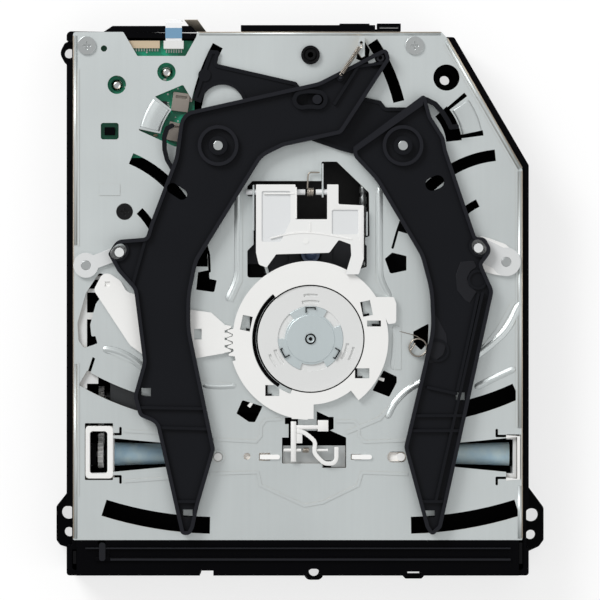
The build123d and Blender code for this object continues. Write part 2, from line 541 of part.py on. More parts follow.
def make_left_arm():
    """Moulded arm tray with ribs; its rear end is pulled by the spring."""
    body, face = tray(LEFT_ARM, LEFT_PIVOT, arm_low, arm_floor, arm_top)
    px, py = LEFT_PIVOT
    body = cross_ribs(body, face, [(px - 26, py - 83.6, px - 3, py - 84), (px - 20, py - 90, px - 2, py - 90.5),
                                   (px - 14, py - 113.6, px - 6, py - 113.6), (px + 44.5, py + 25, px + 37.2, py + 13.4),
                                   (px - 22.5, py - 27.5, px - 27.8, py - 46.4), (px + 45, py + 25.3, px + 53, py + 26.4)],
                      arm_low)
    body = hub(body, LEFT_PIVOT, plate_top + 0.1)
    path = swept(CROSS_PIN, RIGHT_PIVOT, 1, LEFT_PIVOT, -1)
    body += path_slot(path, 6.2, arm_low, arm_top - 0.4) & block(face, arm_low, arm_top)
    body -= path_slot(path, 3.0 + 2 * side_gap, arm_low, arm_top)
    path = swept(LEFT_LINK_PIN, LEFT_LINK, 1, LEFT_PIVOT, -1, link_ratio)
    body += path_slot(path, 5.2, arm_low, arm_top - 0.8) & block(face, arm_low, arm_top)
    body -= path_slot(path, 2 * link_pin + 2 * side_gap, arm_low, arm_top)
    body -= path_slot([(px - 14.6, py - 13.6), (px - 11.6, py - 15.6)], 3.4, arm_low, arm_top)
    body -= box(px - 11.2, px - 8.2, py - 118.6, py - 116.2, arm_low, arm_top)
    body -= box(px - 24.5, px - 21.5, py - 80.0, py - 77.4, arm_low, arm_top)
    finger = [(-14.6, -7.4), (-16.3, -4.5), (-17.1, -1.3), (-17.2, 2.7), (-16.3, 5.5), (-14.7, 6.4)]
    body += path_slot([(px + x, py + y) for x, y in finger], 1.4, arm_low, arm_top - 0.5)
    body += arm_foot(LEFT_PIN, pin_radius) + arm_foot(LEFT_REAR_PIN, 1.5)
    body += post(SPRING_ARM_END, 1.1, arm_low, arm_top - 0.4) + post(SPRING_ARM_END, 0.5, arm_low, arm_top + 0.9)
    return body


SPRING_ARM_END = (LEFT_PIVOT[0] + 39.0, LEFT_PIVOT[1] + 21.6)


def make_right_arm():
    """Moulded arm tray whose rear bar passes under the left arm."""
    body, face = tray(RIGHT_ARM, RIGHT_PIVOT, arm_low, arm_floor, arm_top)
    px, py = RIGHT_PIVOT
    low_face = outline(RIGHT_LOW, RIGHT_PIVOT)
    low = block(low_face, lever_low, lever_top)
    low -= block(offset(low_face, -rib), lever_low + 0.6, lever_top)
    low += post(RIGHT_REAR_PIN, 2.0, lever_low, lever_top) + post(CROSS_PIN, 3.0, lever_low, lever_top)
    low -= post((-28.2, 74.4), 6.9, lever_low, lever_top)
    low += tube((-28.2, 74.4), 8.1, 6.9, lever_low, lever_top) & block(low_face, lever_low, lever_top)
    low -= post(RIGHT_PIVOT, 6.4, lever_low, lever_top)
    body = cross_ribs(body, face, [(px + 8, py - 77.2, px + 17, py - 79.2), (px + 2.4, py - 86.2, px + 20.2, py - 86.2),
                                   (px + 2, py - 91, px + 18.6, py - 91), (px + 2.6, py - 113.6, px + 12.6, py - 113.6),
                                   (px + 25.4, py - 47.1, px + 10.6, py - 113), (px + 24.0, py - 47.6, px + 17.4, py - 78)],
                      arm_low)
    body += block(outline([(6.4, 14.9, 0), (-15.6, -0.6, 0), (-15.6, -2.4, 0), (6.4, 12.9, 0)], RIGHT_PIVOT),
                  lever_low, arm_top)
    body = hub(body, RIGHT_PIVOT, plate_top + 0.1)
    body += low
    path = swept(RIGHT_LINK_PIN, RIGHT_LINK, -1, RIGHT_PIVOT, 1, link_ratio)
    body += path_slot(path, 5.4, arm_low, arm_top - 0.8) & block(face, arm_low, arm_top)
    body -= path_slot(path, 2 * link_pin + 2 * side_gap, arm_low, arm_top)
    body -= path_slot([(px + 9.3, py - 12.3), (px + 11.1, py - 11.5)], 4.2, arm_low, arm_top)
    body -= box(px + 7.2, px + 10.2, py - 118.7, py - 116.5, arm_low, arm_low + arm_floor)
    body -= box(px + 16.9, px + 19.7, py - 81.2, py - 78.8, arm_low, arm_low + arm_floor)
    body += tube((px + 23.9, py - 42.8), 3.2, 2.4, arm_low, arm_low + 1.6)
    body += tube((px + 11.1, py - 65.4), 3.7, 2.9, arm_low, arm_low + 1.6)
    finger = [(5.0, 13.6), (7.5, 14.7), (10.3, 13.3), (12.6, 10.7), (14.3, 8.0), (15.3, 5.9), (17.1, 6.1)]
    body += path_slot([(px + x, py + y) for x, y in finger], 1.5, arm_low, arm_top - 0.5)
    body += arm_foot(RIGHT_PIN, pin_radius)
    body += post(RIGHT_REAR_PIN, 1.5, BOARD_Z + 1.2 + 2 * side_gap, lever_top) + post(CROSS_PIN, 1.5, lever_low, arm_top)
    return body - post(RIGHT_PIVOT, pivot_pin + running_gap, lever_low - 1, arm_top)


def make_link(centre, pin, feet, hub_radius, neck):
    """Flat lever under an arm: hub, pin in the arm's slot, two feet in arched slots."""
    tips = [polar(centre, reach, rest) for _, reach, _, _, rest, _ in feet]
    body = post(centre, hub_radius, lever_low, lever_top)
    body += path_slot([centre, pin], neck, lever_low, lever_top)
    body += path_slot([pin, tips[0]], 3.4, lever_low, lever_top) + path_slot([pin, tips[1]], 2.6, lever_low, lever_top)
    body += post(pin, link_pin, lever_top, arm_top - 0.2)
    for tip, (_, _, radius, _, _, _) in zip(tips, feet):
        body += post(tip, radius, plate_low - 1.6, lever_top)
    return body - post(centre, pivot_pin + running_gap, lever_low, lever_top)


def make_sector_lever():
    """Lever with a toothed sector that turns the ring."""
    body = block(outline([(-17.6, 15.6, 2), (-14.2, 22.0, 3.5), (-9.0, 18.6, 3), (-7.0, 15.0, 3), (13.0, 9.4, 1),
                          (20.0, 8.4, 0.5), (24.3, 4.6, 0), (24.3, -4.6, 0), (13, -6.6, 3), (0, -6.4, 5),
                          (-6.0, -2.0, 3)], SECTOR), lever_low, lever_top)
    for face in teeth(SECTOR, tooth_pitch_radius, ring_module, full_teeth, -2, 1, 360 / full_teeth / 2):
        body += block(face, lever_low, lever_top)
    body -= box(-37.2, -34.8, -0.2, 3.2, lever_low, lever_top)
    body += post(CAM_PIN, 1.0, plate_low - 2.6, lever_low + 0.2)
    body -= box(CAM_PIN[0] - 0.8, CAM_PIN[0] + 0.8, CAM_PIN[1] - 0.8, CAM_PIN[1] + 0.8, lever_top - 0.5, lever_top)
    return body - post(SECTOR, pivot_pin + running_gap, lever_low, lever_top)


CAM_PIN = (SECTOR[0] - 13.2, SECTOR[1] + 17.5)


def make_lock_ring():
    """Clamping ring with a toothed edge, windows and a catch tab."""
    face_low, face_top = lever_low, lever_top + 0.6
    body = post((0, 0), ring_outer, face_low, face_top)
    body += block(arc_slot((0, 0), ring_outer - 1, ring_outer + 1.0, 196, 285), face_low, face_top)
    body -= block(arc_slot((0, 0), 21.0, 30, 268, 308), face_low, face_top)
    body += box(-6.0, 1.0, -25.6, -20.0, face_low, face_top)
    body += block(outline([(18, 13.4, 0), (26.6, 13.4, 0.6), (27.4, 11.4, 1), (27.4, 5.0, 1), (24.8, 4.7, 0.5),
                           (23.4, 8.0, 0), (18, 8.0, 0)]), face_low, face_top)
    body -= block(arc_slot((0, 0), tooth_pitch_radius - 1.15 * ring_module, 40, 172, 192), face_low, face_top)
    for face in teeth((0, 0), tooth_pitch_radius, ring_module, full_teeth, -1, 2, 180):
        body += block(face, face_low, face_top)
    body -= post((0, 0), ring_bore, face_low, face_top)
    body -= block(arc_slot((0, 0), 10, ring_bore + 1.4, 130, 250), face_low, face_top)
    for x, y, wide, deep, turn in ((-20.5, 5.0, 3.2, 4.8, -12), (-12.2, -16.5, 4.5, 3.5, 0), (17.9, 9.7, 3.2, 4.8, 12),
                                   (20.3, 4.9, 4.4, 1.9, 0), (16.5, -11.0, 4.6, 3.2, 0)):
        body -= Pos(x, y, face_low) * Rot(0, 0, turn) * Box(wide, deep, 2 * (face_top - face_low))
    return body


def make_clamper_disc():
    """Moulded clamping disc with a boss that reaches down to the disc."""
    body = post((0, 0), clamper_radius, lever_low - 0.9, lever_top)
    body += post((0, 0), 12.0, turntable_top + 2.4, lever_low)
    body -= post((0, 0), cap_radius + running_gap, lever_top - 0.4, lever_top)
    for start in (77, 197, 327):
        body -= block(arc_slot((0, 0), 11.4, 12.4, start, start + 26), lever_top - 0.5, lever_top)
        body -= block(arc_slot((0, 0), 13.6, 14.4, start + 4, start + 22), lever_top - 0.5, lever_top)
    return body


def make_clamper_cap():
    """Steel plate that the turntable magnet pulls on."""
    body = post((0, 0), cap_radius, lever_top - 0.4, lever_top + 0.2)
    for start, end in ((130, 180), (25, 60), (250, 300)):
        body -= block(arc_slot((0, 0), 8.2, 12, start, end), lever_top - 0.4, lever_top + 0.2)
    body += post((0, 0), 7.6, lever_top + 0.2, lever_top + 0.5)
    body += tube((0, 0), 1.7, 1.1, lever_top + 0.5, lever_top + 0.8)
    return body + post((0, 0), 0.55, lever_top + 0.5, lever_top + 0.8)


FLAP_Y = 46.9
FLAP_Z = plate_top + 1.2


def make_clamp_flap():
    """Lever hinged at its rear edge, whose front edge lies over the ring."""
    low, top = RING_TOP + 0.3, RING_TOP + 1.5
    body = block(outline([(-17.4, 49.3, 0.3), (-4.8, 49.3, 0.3), (-4.8, 38.2, 0.2), (5.3, 38.2, 0.2), (5.3, 49.3, 0),
                          (8.9, 49.3, 0.3), (8.9, 43.0, 0.5), (17.0, 42.6, 0.4), (17.0, 25.6, 1), (15.4, 20.6, 0.5),
                          (11.2, 20.6, 0.3), (13.0, 26.6, 0.4), (12.8, 30.2, 0.4), (9.0, 31.6, 0.6), (6.0, 27.5, 1),
                          (-11.0, 27.0, 0.4), (-14.0, 22.8, 0.5), (-16.5, 23.7, 1), (-17.4, 27.5, 1)]), low, top)
    for face in (outline([(-15.6, 47.2, 0.6), (-6.4, 47.2, 0.6), (-6.4, 37.6, 0.6), (-9.6, 31.0, 0.6), (-15.6, 31.0, 0.6)]),
                 outline([(6.8, 41.2, 0.5), (15.2, 41.2, 0.5), (15.2, 33.4, 0.5), (6.8, 33.4, 0.5)])):
        body -= block(face, top - 0.4, top)
    pegs = bar_x(-20.6, -17.0, FLAP_Y, FLAP_Z, 0.9) + bar_x(-4.8, -1.7, FLAP_Y, FLAP_Z, 0.9)
    pegs += bar_x(1.7, 5.6, FLAP_Y, FLAP_Z, 0.9)
    for x in (-17.4, -5.9, 5.3):
        pegs += box(x, x + 1.1, FLAP_Y - 1.2, FLAP_Y + 1.2, FLAP_Z - 0.9, low + 0.2)
    return body + pegs


RING_TOP = lever_top + 0.6
RELEASE_Y = -35.6
RELEASE_Z = plate_top + 0.4


def make_release_lever():
    """Lever in the front window: its rear tip lies by the ring, its hook reaches down at the front."""
    low, top = plate_top + 0.5, plate_top + 1.6
    body = box(-6.3, -4.5, -39.3, -26.4, low, top) + box(-4.8, 2.4, -28.5, -27.4, low, top)
    body += box(2.3, 5.7, -29.3, -26.0, low, top)
    body += path_slot([(3.0, -29.0), (-1.6, -30.6), (-4.6, -33.0)], 1.4, low, top)
    body += path_slot([(-1.2, -31.2), (0.8, -34.0), (0.9, -37.5), (3.6, -40.0), (6.2, -40.0), (7.6, -38.6), (7.6, -34.4)],
                      1.4, low, top)
    body += bar_x(-8.8, -4.5, RELEASE_Y, RELEASE_Z + 0.4, 0.6) + bar_x(-4.6, -2.9, RELEASE_Y, RELEASE_Z + 0.4, 0.6)
    body += bar_x(0.8, 6.0, RELEASE_Y, RELEASE_Z + 0.4, 0.6)
    return body + box(4.4, 6.2, -40.6, -39.4, roller_z + 5.0, low + 0.2)


def make_roller_sleeve(side):
    """Rubber sleeve that is thinner towards the middle of the drive."""
    outer = roller_left if side < 0 else roller_right
    profile = [(0, roller_end_radius), (sleeve_length, roller_mid_radius)]
    face = outline([(0, shaft_radius, 0), (0, profile[0][1], 0.3), (sleeve_length, profile[1][1], 0.3),
                    (sleeve_length, shaft_radius, 0)])
    sleeve = revolve(face, axis=Axis.X)
    return Pos(outer, roller_y, roller_z) * Rot(0, 0, 0 if side < 0 else 180) * sleeve


GEAR_X = roller_left - 3.2
ROLLER_R = gear_module * roller_teeth / 2
IDLER_R = gear_module * idler_teeth / 2
MOTOR_R = gear_module * motor_teeth / 2
GEAR_SLOPE = 22.5
IDLER = (GEAR_X, roller_y + (ROLLER_R + IDLER_R) * cos(radians(GEAR_SLOPE)),
         roller_z - (ROLLER_R + IDLER_R) * sin(radians(GEAR_SLOPE)))
MOTOR = (GEAR_X, IDLER[1] + IDLER_R + MOTOR_R, IDLER[2])


def gear_at(count, x, y, z, bore, turn):
    """Gear about X. Its angle of 0 points along +Y and turns towards +Z."""
    gear = spur_gear(count, 1.8, bore, turn)
    return Plane(origin=(x - 0.9, y, z), x_dir=(0, 1, 0), z_dir=(1, 0, 0)).location * gear


def gear_phases():
    """Angles that put each gear's teeth in the gaps of the next one."""
    slope = -GEAR_SLOPE
    roller = slope + 180 / roller_teeth
    idler = slope + 180
    step = 360 / idler_teeth
    facing = (0 - idler) % step
    motor = 180 - (step - facing) * idler_teeth / motor_teeth + 180 / motor_teeth
    return roller, idler, motor


def make_roller_gear():
    return gear_at(roller_teeth, GEAR_X, roller_y, roller_z, shaft_radius, gear_phases()[0])


def make_idler_gear():
    return gear_at(idler_teeth, *IDLER, 1.0 + running_gap, gear_phases()[1])


def make_motor_gear():
    gear = gear_at(motor_teeth, *MOTOR, 0.5, gear_phases()[2])
    return gear + bar_x(MOTOR[0] - 0.9, MOTOR[0] + 4.0, MOTOR[1], MOTOR[2], 0.5)


def make_loading_motor():
    x, y, z = MOTOR
    can = bar_x(x + 3.0, x + 24, y, z, 7.2) & box(x + 3, x + 24, y - 8, y + 8, floor_top, z + 5.6)
    can += box(x + 6, x + 20, y - 4, y + 4, floor_top, z)
    can += bar_x(x + 1.6, x + 3.0, y, z, 2.6)
    return can - bar_x(x + 1.6, x + 6.0, y, z, 0.5 + running_gap)


def make_roller_shaft():
    return bar_x(roller_left - 6.2, roller_right + 2.1, roller_y, roller_z, shaft_radius)


def make_roller_flange(side):
    """Black collar between a sleeve and its bearing."""
    x = roller_left - 1.9 if side < 0 else roller_right + 0.1
    wide = 1.8 if side < 0 else 0.45
    return bar_x(x, x + wide, roller_y, roller_z, 3.2) - bar_x(x, x + wide, roller_y, roller_z, shaft_radius)


DECK_LOW = floor_top + 4.0
DECK_TOP = DECK_LOW + 1.6
DAMPER_X = 30.0


def make_traverse_deck():
    """Deck that carries the spindle motor and the pickup, with a long window for the sled."""
    deck = block(outline([(-32.5, -24, 3), (32.5, -24, 3), (32.5, 72, 3), (-32.5, 72, 3)]), DECK_LOW, DECK_TOP)
    deck -= box(-19.5, 19.5, 16, 66, DECK_LOW, DECK_TOP)
    deck -= post((0, 0), 9.0, DECK_LOW, DECK_TOP)
    for side in (-1, 1):
        x = side * rod_spacing / 2
        for y in (15.0, 67.0):
            deck += box(x - 2.4, x + 2.4, y - 1.5, y + 1.5, DECK_TOP, ROD_Z + 1.8)
        deck -= bar_y(13.4, 68.6, x, ROD_Z, rod_radius)
        for y in (-20, 68):
            deck -= post((side * DAMPER_X, y), 2.4, DECK_LOW, DECK_TOP)
    for y in (15.0, 67.0):
        deck += box(SCREW_X - 2.0, SCREW_X + 2.0, y - 1.5, y + 1.5, DECK_TOP, ROD_Z + 1.8)
    return deck - bar_y(13.4, 68.6, SCREW_X, ROD_Z, screw_radius + running_gap)


ROD_Z = DECK_TOP + 3.0
SCREW_X = rod_spacing / 2 - 5.0


def make_dampers():
    """Four rubber grommets between the case pins and the deck."""
    rings = []
    for x in (-DAMPER_X, DAMPER_X):
        for y in (-20, 68):
            ring = tube((x, y), 2.4, 1.4, DECK_LOW, DECK_TOP)
            ring += tube((x, y), 3.6, 1.4, DECK_LOW - 1.2, DECK_LOW) + tube((x, y), 3.6, 1.4, DECK_TOP, DECK_TOP + 1.0)
            rings.append(ring)
    return Compound(children=rings)


def make_guide_rods():
    return Compound(children=[bar_y(13.5, 68.5, s * rod_spacing / 2, ROD_Z, rod_radius) for s in (-1, 1)])


def make_lead_screw():
    """Screw with turned grooves and a journal at each end."""
    screw = bar_y(13.6, 76.0, SCREW_X, ROD_Z, screw_radius)
    for i in range(14):
        groove = bar_y(18.5 + 3.4 * i, 19.7 + 3.4 * i, SCREW_X, ROD_Z, screw_radius)
        screw -= groove - bar_y(18.5 + 3.4 * i, 19.7 + 3.4 * i, SCREW_X, ROD_Z, screw_radius - 0.3)
    return screw


def make_sled_motor():
    can = bar_y(73.6, 85.0, SCREW_X, ROD_Z, 5.0) + bar_y(72.0, 73.6, SCREW_X, ROD_Z, 2.6)
    can -= bar_y(72.0, 76.6, SCREW_X, ROD_Z, screw_radius + running_gap)
    return can + box(SCREW_X - 3, SCREW_X + 3, 75.5, 84, floor_top, ROD_Z - 3.5)


def make_pickup_sled():
    """Sled on two rods, with the lens well."""
    x = rod_spacing / 2
    body = box(-15.0, 13.6, 21, 33.6, DECK_TOP + 0.4, DECK_TOP + 5.4)
    body += box(-x - 2.4, -14.5, 24, 31, ROD_Z - 1.8, ROD_Z + 1.8)
    body += box(13, SCREW_X - 1.6, 24, 31, ROD_Z + 1.6, ROD_Z + 2.6) + box(13, x + 2.4, 25, 30, ROD_Z + 1.7, ROD_Z + 2.7)
    body += box(x + 1.3, x + 2.4, 25, 30, ROD_Z - 1.0, ROD_Z + 1.8)
    body += box(-7, 7, 22, 32.6, DECK_TOP + 5.4, DECK_TOP + 6.4)
    body -= post((0, 27.3), 3.6, DECK_TOP + 3.4, DECK_TOP + 6.4)
    return body - bar_y(21, 34, -x, ROD_Z, rod_radius + running_gap)


def make_lens():
    return post((0, 27.3), 3.0, DECK_TOP + 3.4, DECK_TOP + 5.6) + Pos(0, 27.3, DECK_TOP + 5.5) * Sphere(2.0)


def make_spindle_motor():
    body = post((0, 0), 9.6, floor_top + 0.8, DECK_LOW) + post((0, 0), 8.8, DECK_LOW, DECK_TOP + 1.2)
    return body - post((0, 0), 0.75 + running_gap, floor_top + 1.5, DECK_TOP + 1.2)


def make_turntable():
    """Rotor and turntable with a centring cone."""
    body = post((0, 0), 0.75, floor_top + 1.6, DECK_TOP + 1.6)
    body += post((0, 0), 11.0, DECK_TOP + 1.6, turntable_top - 1.2) + post((0, 0), turntable_radius,
                                                                          turntable_top - 1.2, turntable_top)
    cone = Pos(0, 0, turntable_top) * Cone(7.3, 6.2, 2.0, align=(Align.CENTER, Align.CENTER, Align.MIN))
    return body + cone


def make_turntable_pad():
    return tube((0, 0), turntable_radius - 0.6, 9.5, turntable_top, turntable_top + 0.4)


def make_cam_slider():
    """Long slider by the left wall. A cross slot in it follows the pin of the sector lever."""
    low, high = plate_low - 2.6, plate_low - 0.4
    left = inner_left + plate_thickness + 0.4
    body = box(left, left + 3.0, -16, 24, low, high) + box(left + 2.6, left + 13.0, 14.8, 20.2, low, high)
    body += box(left + 2.6, left + 6.6, 6.2, 8.4, low, high) + box(left + 2.6, left + 6.6, -14.4, -10.4, low, high)
    return body - path_slot([(CAM_PIN[0] - 6.0, CAM_PIN[1]), (CAM_PIN[0] + 0.3, CAM_PIN[1])], 2.9, low, high)


def make_sensor_board():
    z = BOARD_Z
    board = block(outline([(-68.5, 95.6, 1), (-37.2, 95.6, 1), (-37.2, 62.0, 1), (-48.4, 58.0, 1),
                           (-68.5, 58.0, 1)]), z, z + 1.2)
    for centre in BOARD_SCREWS:
        board -= post(centre, 1.1, z, z + 1.2)
    return board - post((-64.3, 66.4), 1.2, z, z + 1.2)


def make_board_posts():
    z = BOARD_Z
    group = [post(c, 2.3, floor_top, z) - post(c, 0.8, z - 4, z) for c in BOARD_SCREWS]
    group.append(post((-64.3, 66.4), 2.3, floor_top, z) + box(-65.2, -63.4, 65.8, 67.0, z, z + 1.2)
                 + box(-65.9, -62.6, 65.2, 67.7, z + 1.2, plate_top - 0.2))
    return Compound(children=group)


def make_board_screws():
    z = BOARD_Z + 1.2
    screws = []
    for c in BOARD_SCREWS:
        head = post(c, 1.9, z, z + 1.1) - path_slot([(c[0] - 0.9, c[1]), (c[0] + 0.9, c[1])], 0.4, z + 0.7, z + 1.1)
        head -= path_slot([(c[0], c[1] - 0.9), (c[0], c[1] + 0.9)], 0.4, z + 0.7, z + 1.1)
        screws.append(head + post(c, 0.78, z - 4, z))
    return Compound(children=screws)


def make_detect_switches():
    """Two small lever switches on the board, under the rear bar of the right arm."""
    z = BOARD_Z + 1.2
    group = []
    for x, y, turn in ((-41.6, 75.8, -8), (-43.0, 66.2, -12)):
        body = Box(5.4, 6.0, 1.9, align=(Align.CENTER, Align.CENTER, Align.MIN))
        body -= Pos(0, 1.6, 1.4) * Box(3.6, 0.8, 1.2)
        body += Pos(3.0, 1.2, 0.8) * Box(1.2, 1.4, 1.0)
        group.append(Pos(x, y, z) * Rot(0, 0, turn) * body)
    return Compound(children=group)


BOARD_Z = plate_low - 3.4
CONNECTOR = (-47.0, -40.6, 92.8, 95.4)


def make_ribbon_connector():
    x0, x1, y0, y1 = CONNECTOR
    z = BOARD_Z + 1.2
    return box(x0, x1, y0, y1, z, z + 3.4) - box(x0 + 0.6, x1 - 0.6, y1 - 1.0, y1, z + 2.4, z + 2.9)


def make_ribbon():
    """Flat cable: out of the connector, over the rear edge and folded down behind the case."""
    thin = 0.3
    z = plate_low + 0.3
    x0, x1 = CONNECTOR[0] + 0.7, CONNECTOR[1] - 0.7
    rear = case_rear + 4.0
    run = box(x0, x1, CONNECTOR[3] - 0.9, rear, z, z + thin)
    run += box(x0, x1, rear - thin, rear, plate_low - 8, z)
    run += box(x0 + 5.0, x1 + 5.0, rear - thin, rear, plate_low - 8, plate_low - 5)
    return run + box(x1 + 0.2, x1 + 4.0, case_rear + 2.1, rear - thin, plate_low - 8, plate_low - 7.7)


def make_rear_rail():
    """Moulded rail along the rear edge with a raised block and a wire loop."""
    low = plate_low - 6.0
    rail = box(-22.3, 20.7, case_rear + 0.05, case_rear + 1.9, low, plate_top)
    rail += box(9.3, 18.9, case_rear + 0.5, case_rear + 2.4, low, plate_top - 0.4)
    rail += box(21.3, 28.9, case_rear + 0.05, case_rear + 2.4, low, plate_top)
    rail -= box(22.0, 28.2, case_rear + 0.9, case_rear + 1.4, low, plate_top)
    return rail + box(20.0, 22.0, case_rear + 0.05, case_rear + 0.8, low, low + 3)


def make_corner_screws():
    screws = []
    for c in CORNER_SCREWS:
        head = post(c, 2.95, plate_top, plate_top + 0.7)
        head -= path_slot([(c[0] - 1.1, c[1]), (c[0] + 1.1, c[1])], 0.5, plate_top + 0.3, plate_top + 0.7)
        head -= path_slot([(c[0], c[1] - 1.1), (c[0], c[1] + 1.1)], 0.5, plate_top + 0.3, plate_top + 0.7)
        screws.append(head + post(c, 0.98, case_height - 6, plate_top))
    return Compound(children=screws)


def make_black_screw():
    """Flat screw head sunk flush into the plate, so that the link passes over it."""
    c, low = FLUSH_SCREW, plate_top - flush_depth
    head = post(c, 2.6, low, plate_top) + post(c, 1.2, plate_low - 1.4, low)
    head -= path_slot([(c[0] - 1.1, c[1]), (c[0] + 1.1, c[1])], 0.5, plate_top - 0.4, plate_top)
    return head - path_slot([(c[0], c[1] - 1.1), (c[0], c[1] + 1.1)], 0.5, plate_top - 0.4, plate_top)


def make_rubber_boss():
    c = (0, 90.8)
    boss = post(c, 3.0, plate_top, plate_top + 1.4) + post(c, 1.6, plate_low - 1.5, plate_top)
    return boss - post(c, 0.9, plate_low - 1.5, plate_top + 1.4) - tube(c, 2.2, 1.7, plate_top + 0.9, plate_top + 1.4)


def make_pivot_pins(centres, head, top):
    pins = [post(c, pivot_pin, plate_low, top) + head_at(c, head, top) for c in centres]
    return Compound(children=pins)


def head_at(centre, radius, top):
    return post(centre, radius, top, top + 0.6)


def make_roller_brackets():
    """Two moulded U frames that hold the ends of the roller shaft in the windows."""
    low, high = roller_z + 4.2, plate_low - 0.3
    left = box(-71.9, -62.9, -44.6, -27.9, low, high) - box(-70.7, -63.8, -43.0, -29.4, low, high)
    right = box(62.8, 66.0, -44.6, -30.9, low, high) - box(62.8, 64.9, -43.2, -32.2, low, high)
    left += box(-71.9, -70.8, -44.6, -41.0, floor_top, low) + box(-71.9, -70.8, -31.4, -27.9, floor_top, low)
    right += box(64.9, 66.0, -44.6, -41.4, floor_top, low) + box(64.9, 66.0, -32.8, -30.9, floor_top, low)
    return Compound(children=[left, right])


def coil(start, end, radius, low):
    """Closed tube with end loops for a coil spring that lies flat."""
    (x0, y0), (x1, y1) = start, end
    length = hypot(x1 - x0, y1 - y0)
    turn = degrees(atan2(y1 - y0, x1 - x0))
    body = Pos((x0 + x1) / 2, (y0 + y1) / 2, low) * Rot(0, 0, turn) * Rot(0, 90, 0) * Cylinder(radius, length)
    return body


def make_arm_spring():
    z = arm_top + 0.35 + 0.65
    hook, end = SPRING_HOOK, SPRING_ARM_END
    a = (hook[0] + (end[0] - hook[0]) * 0.08, hook[1] + (end[1] - hook[1]) * 0.08)
    b = (hook[0] + (end[0] - hook[0]) * 0.9, hook[1] + (end[1] - hook[1]) * 0.9)
    return coil(a, b, 0.65, z)


RING_SPRING = (34.4, -2.8)


def make_ring_spring():
    """Torsion spring whose long leg reaches into the ring's slot."""
    body = tube(RING_SPRING, 3.2, 2.6, lever_low, lever_low + 1.2)
    body += path_slot([(RING_SPRING[0] + 2.2, RING_SPRING[1] + 1.9), (33.6, 1.1), (28.4, 2.4)], 0.6,
                      lever_low, lever_low + 0.6)
    return body


def make_flap_spring():
    """Coil on the hinge pegs of the flap with two straight legs."""
    z = FLAP_Z
    body = bar_x(-1.2, 1.2, FLAP_Y, z, 1.5) - bar_x(-1.2, 1.2, FLAP_Y, z, 0.4)
    body += bar_y(FLAP_Y + 1.1, 53.5, -0.8, z, 0.3) + bar_x(-1.1, 3.0, 53.2, z, 0.3)
    return body


def make_release_spring():
    z = RELEASE_Z + 0.5
    return bar_x(-2.6, -0.3, RELEASE_Y, z, 0.9) - bar_x(-2.6, -0.3, RELEASE_Y, z, 0.3)


def make_disc_guides():
    """Two moulded guide strips under the plate, each held by a pin and a snap hook."""
    group = []
    for (x, y), slot, ends in ((GUIDE_PIN, -16.5, (-34.0, -10.4)), (GUIDE_SLOT, 12.9, (12.2, 34.0))):
        strip = box(ends[0], ends[1], y - 1.5, y + 1.5, case_height - 1.3, case_height - 0.1)
        strip += post((x, y), 1.3, case_height - 0.2, plate_top + 0.4)
        strip += box(slot + 0.3, slot + 3.0, y - 0.7, y + 0.7, case_height - 0.2, plate_top + 0.05)
        strip += path_slot([(slot + 1.2, y), (slot + 6.0, y)], 1.5, plate_top + 0.05, plate_top + 0.6)
        group.append(strip)
    return Compound(children=group)


def make_bottom_screws():
    screws = []
    for c in BOTTOM_SCREWS:
        screws.append(post(c, 0.88, cover_thickness, floor_top + 2.4) + post(c, 1.1, 0, cover_thickness))
    return Compound(children=screws)


FEET = link_feet()
MODEL = {
    "bottom_cover": make_bottom_cover,
    "chassis": make_chassis,
    "front_guide": make_front_guide,
    "top_plate": make_top_plate,
    "left_arm": make_left_arm,
    "right_arm": make_right_arm,
    "left_link": lambda: make_link(LEFT_LINK, LEFT_LINK_PIN, FEET[:2], 4.0, 4.4),
    "right_link": lambda: make_link(RIGHT_LINK, RIGHT_LINK_PIN, FEET[2:], 4.6, 7.4),
    "arm_pivot_pins": lambda: make_pivot_pins([LEFT_PIVOT, RIGHT_PIVOT], 1.5, arm_top - 0.6),
    "link_rivets": lambda: make_pivot_pins([LEFT_LINK, RIGHT_LINK], 1.5, lever_top - 0.6),
    "sector_rivet": lambda: make_pivot_pins([SECTOR], 1.5, lever_top - 0.6),
    "sector_lever": make_sector_lever,
    "lock_ring": make_lock_ring,
    "clamper_disc": make_clamper_disc,
    "clamper_cap": make_clamper_cap,
    "clamp_flap": make_clamp_flap,
    "release_lever": make_release_lever,
    "roller_shaft": make_roller_shaft,
    "left_roller": lambda: make_roller_sleeve(-1),
    "right_roller": lambda: make_roller_sleeve(1),
    "left_collar": lambda: make_roller_flange(-1),
    "right_collar": lambda: make_roller_flange(1),
    "roller_gear": make_roller_gear,
    "idler_gear": make_idler_gear,
    "motor_gear": make_motor_gear,
    "loading_motor": make_loading_motor,
    "roller_brackets": make_roller_brackets,
    "traverse_deck": make_traverse_deck,
    "deck_dampers": make_dampers,
    "guide_rods": make_guide_rods,
    "lead_screw": make_lead_screw,
    "sled_motor": make_sled_motor,
    "pickup_sled": make_pickup_sled,
    "pickup_lens": make_lens,
    "spindle_motor": make_spindle_motor,
    "turntable": make_turntable,
    "turntable_pad": make_turntable_pad,
    "cam_slider": make_cam_slider,
    "sensor_board": make_sensor_board,
    "board_posts": make_board_posts,
    "board_screws": make_board_screws,
    "detect_switches": make_detect_switches,
    "ribbon_connector": make_ribbon_connector,
    "ribbon": make_ribbon,
    "rear_rail": make_rear_rail,
    "corner_screws": make_corner_screws,
    "black_screw": make_black_screw,
    "rubber_boss": make_rubber_boss,
    "arm_spring": make_arm_spring,
    "ring_spring": make_ring_spring,
    "flap_spring": make_flap_spring,
    "release_spring": make_release_spring,
    "disc_guides": make_disc_guides,
    "bottom_screws": make_bottom_screws,
}

for name, make in MODEL.items():
    export_step(make(), "parts/" + name + ".step")
print(len(MODEL), "nodes written")
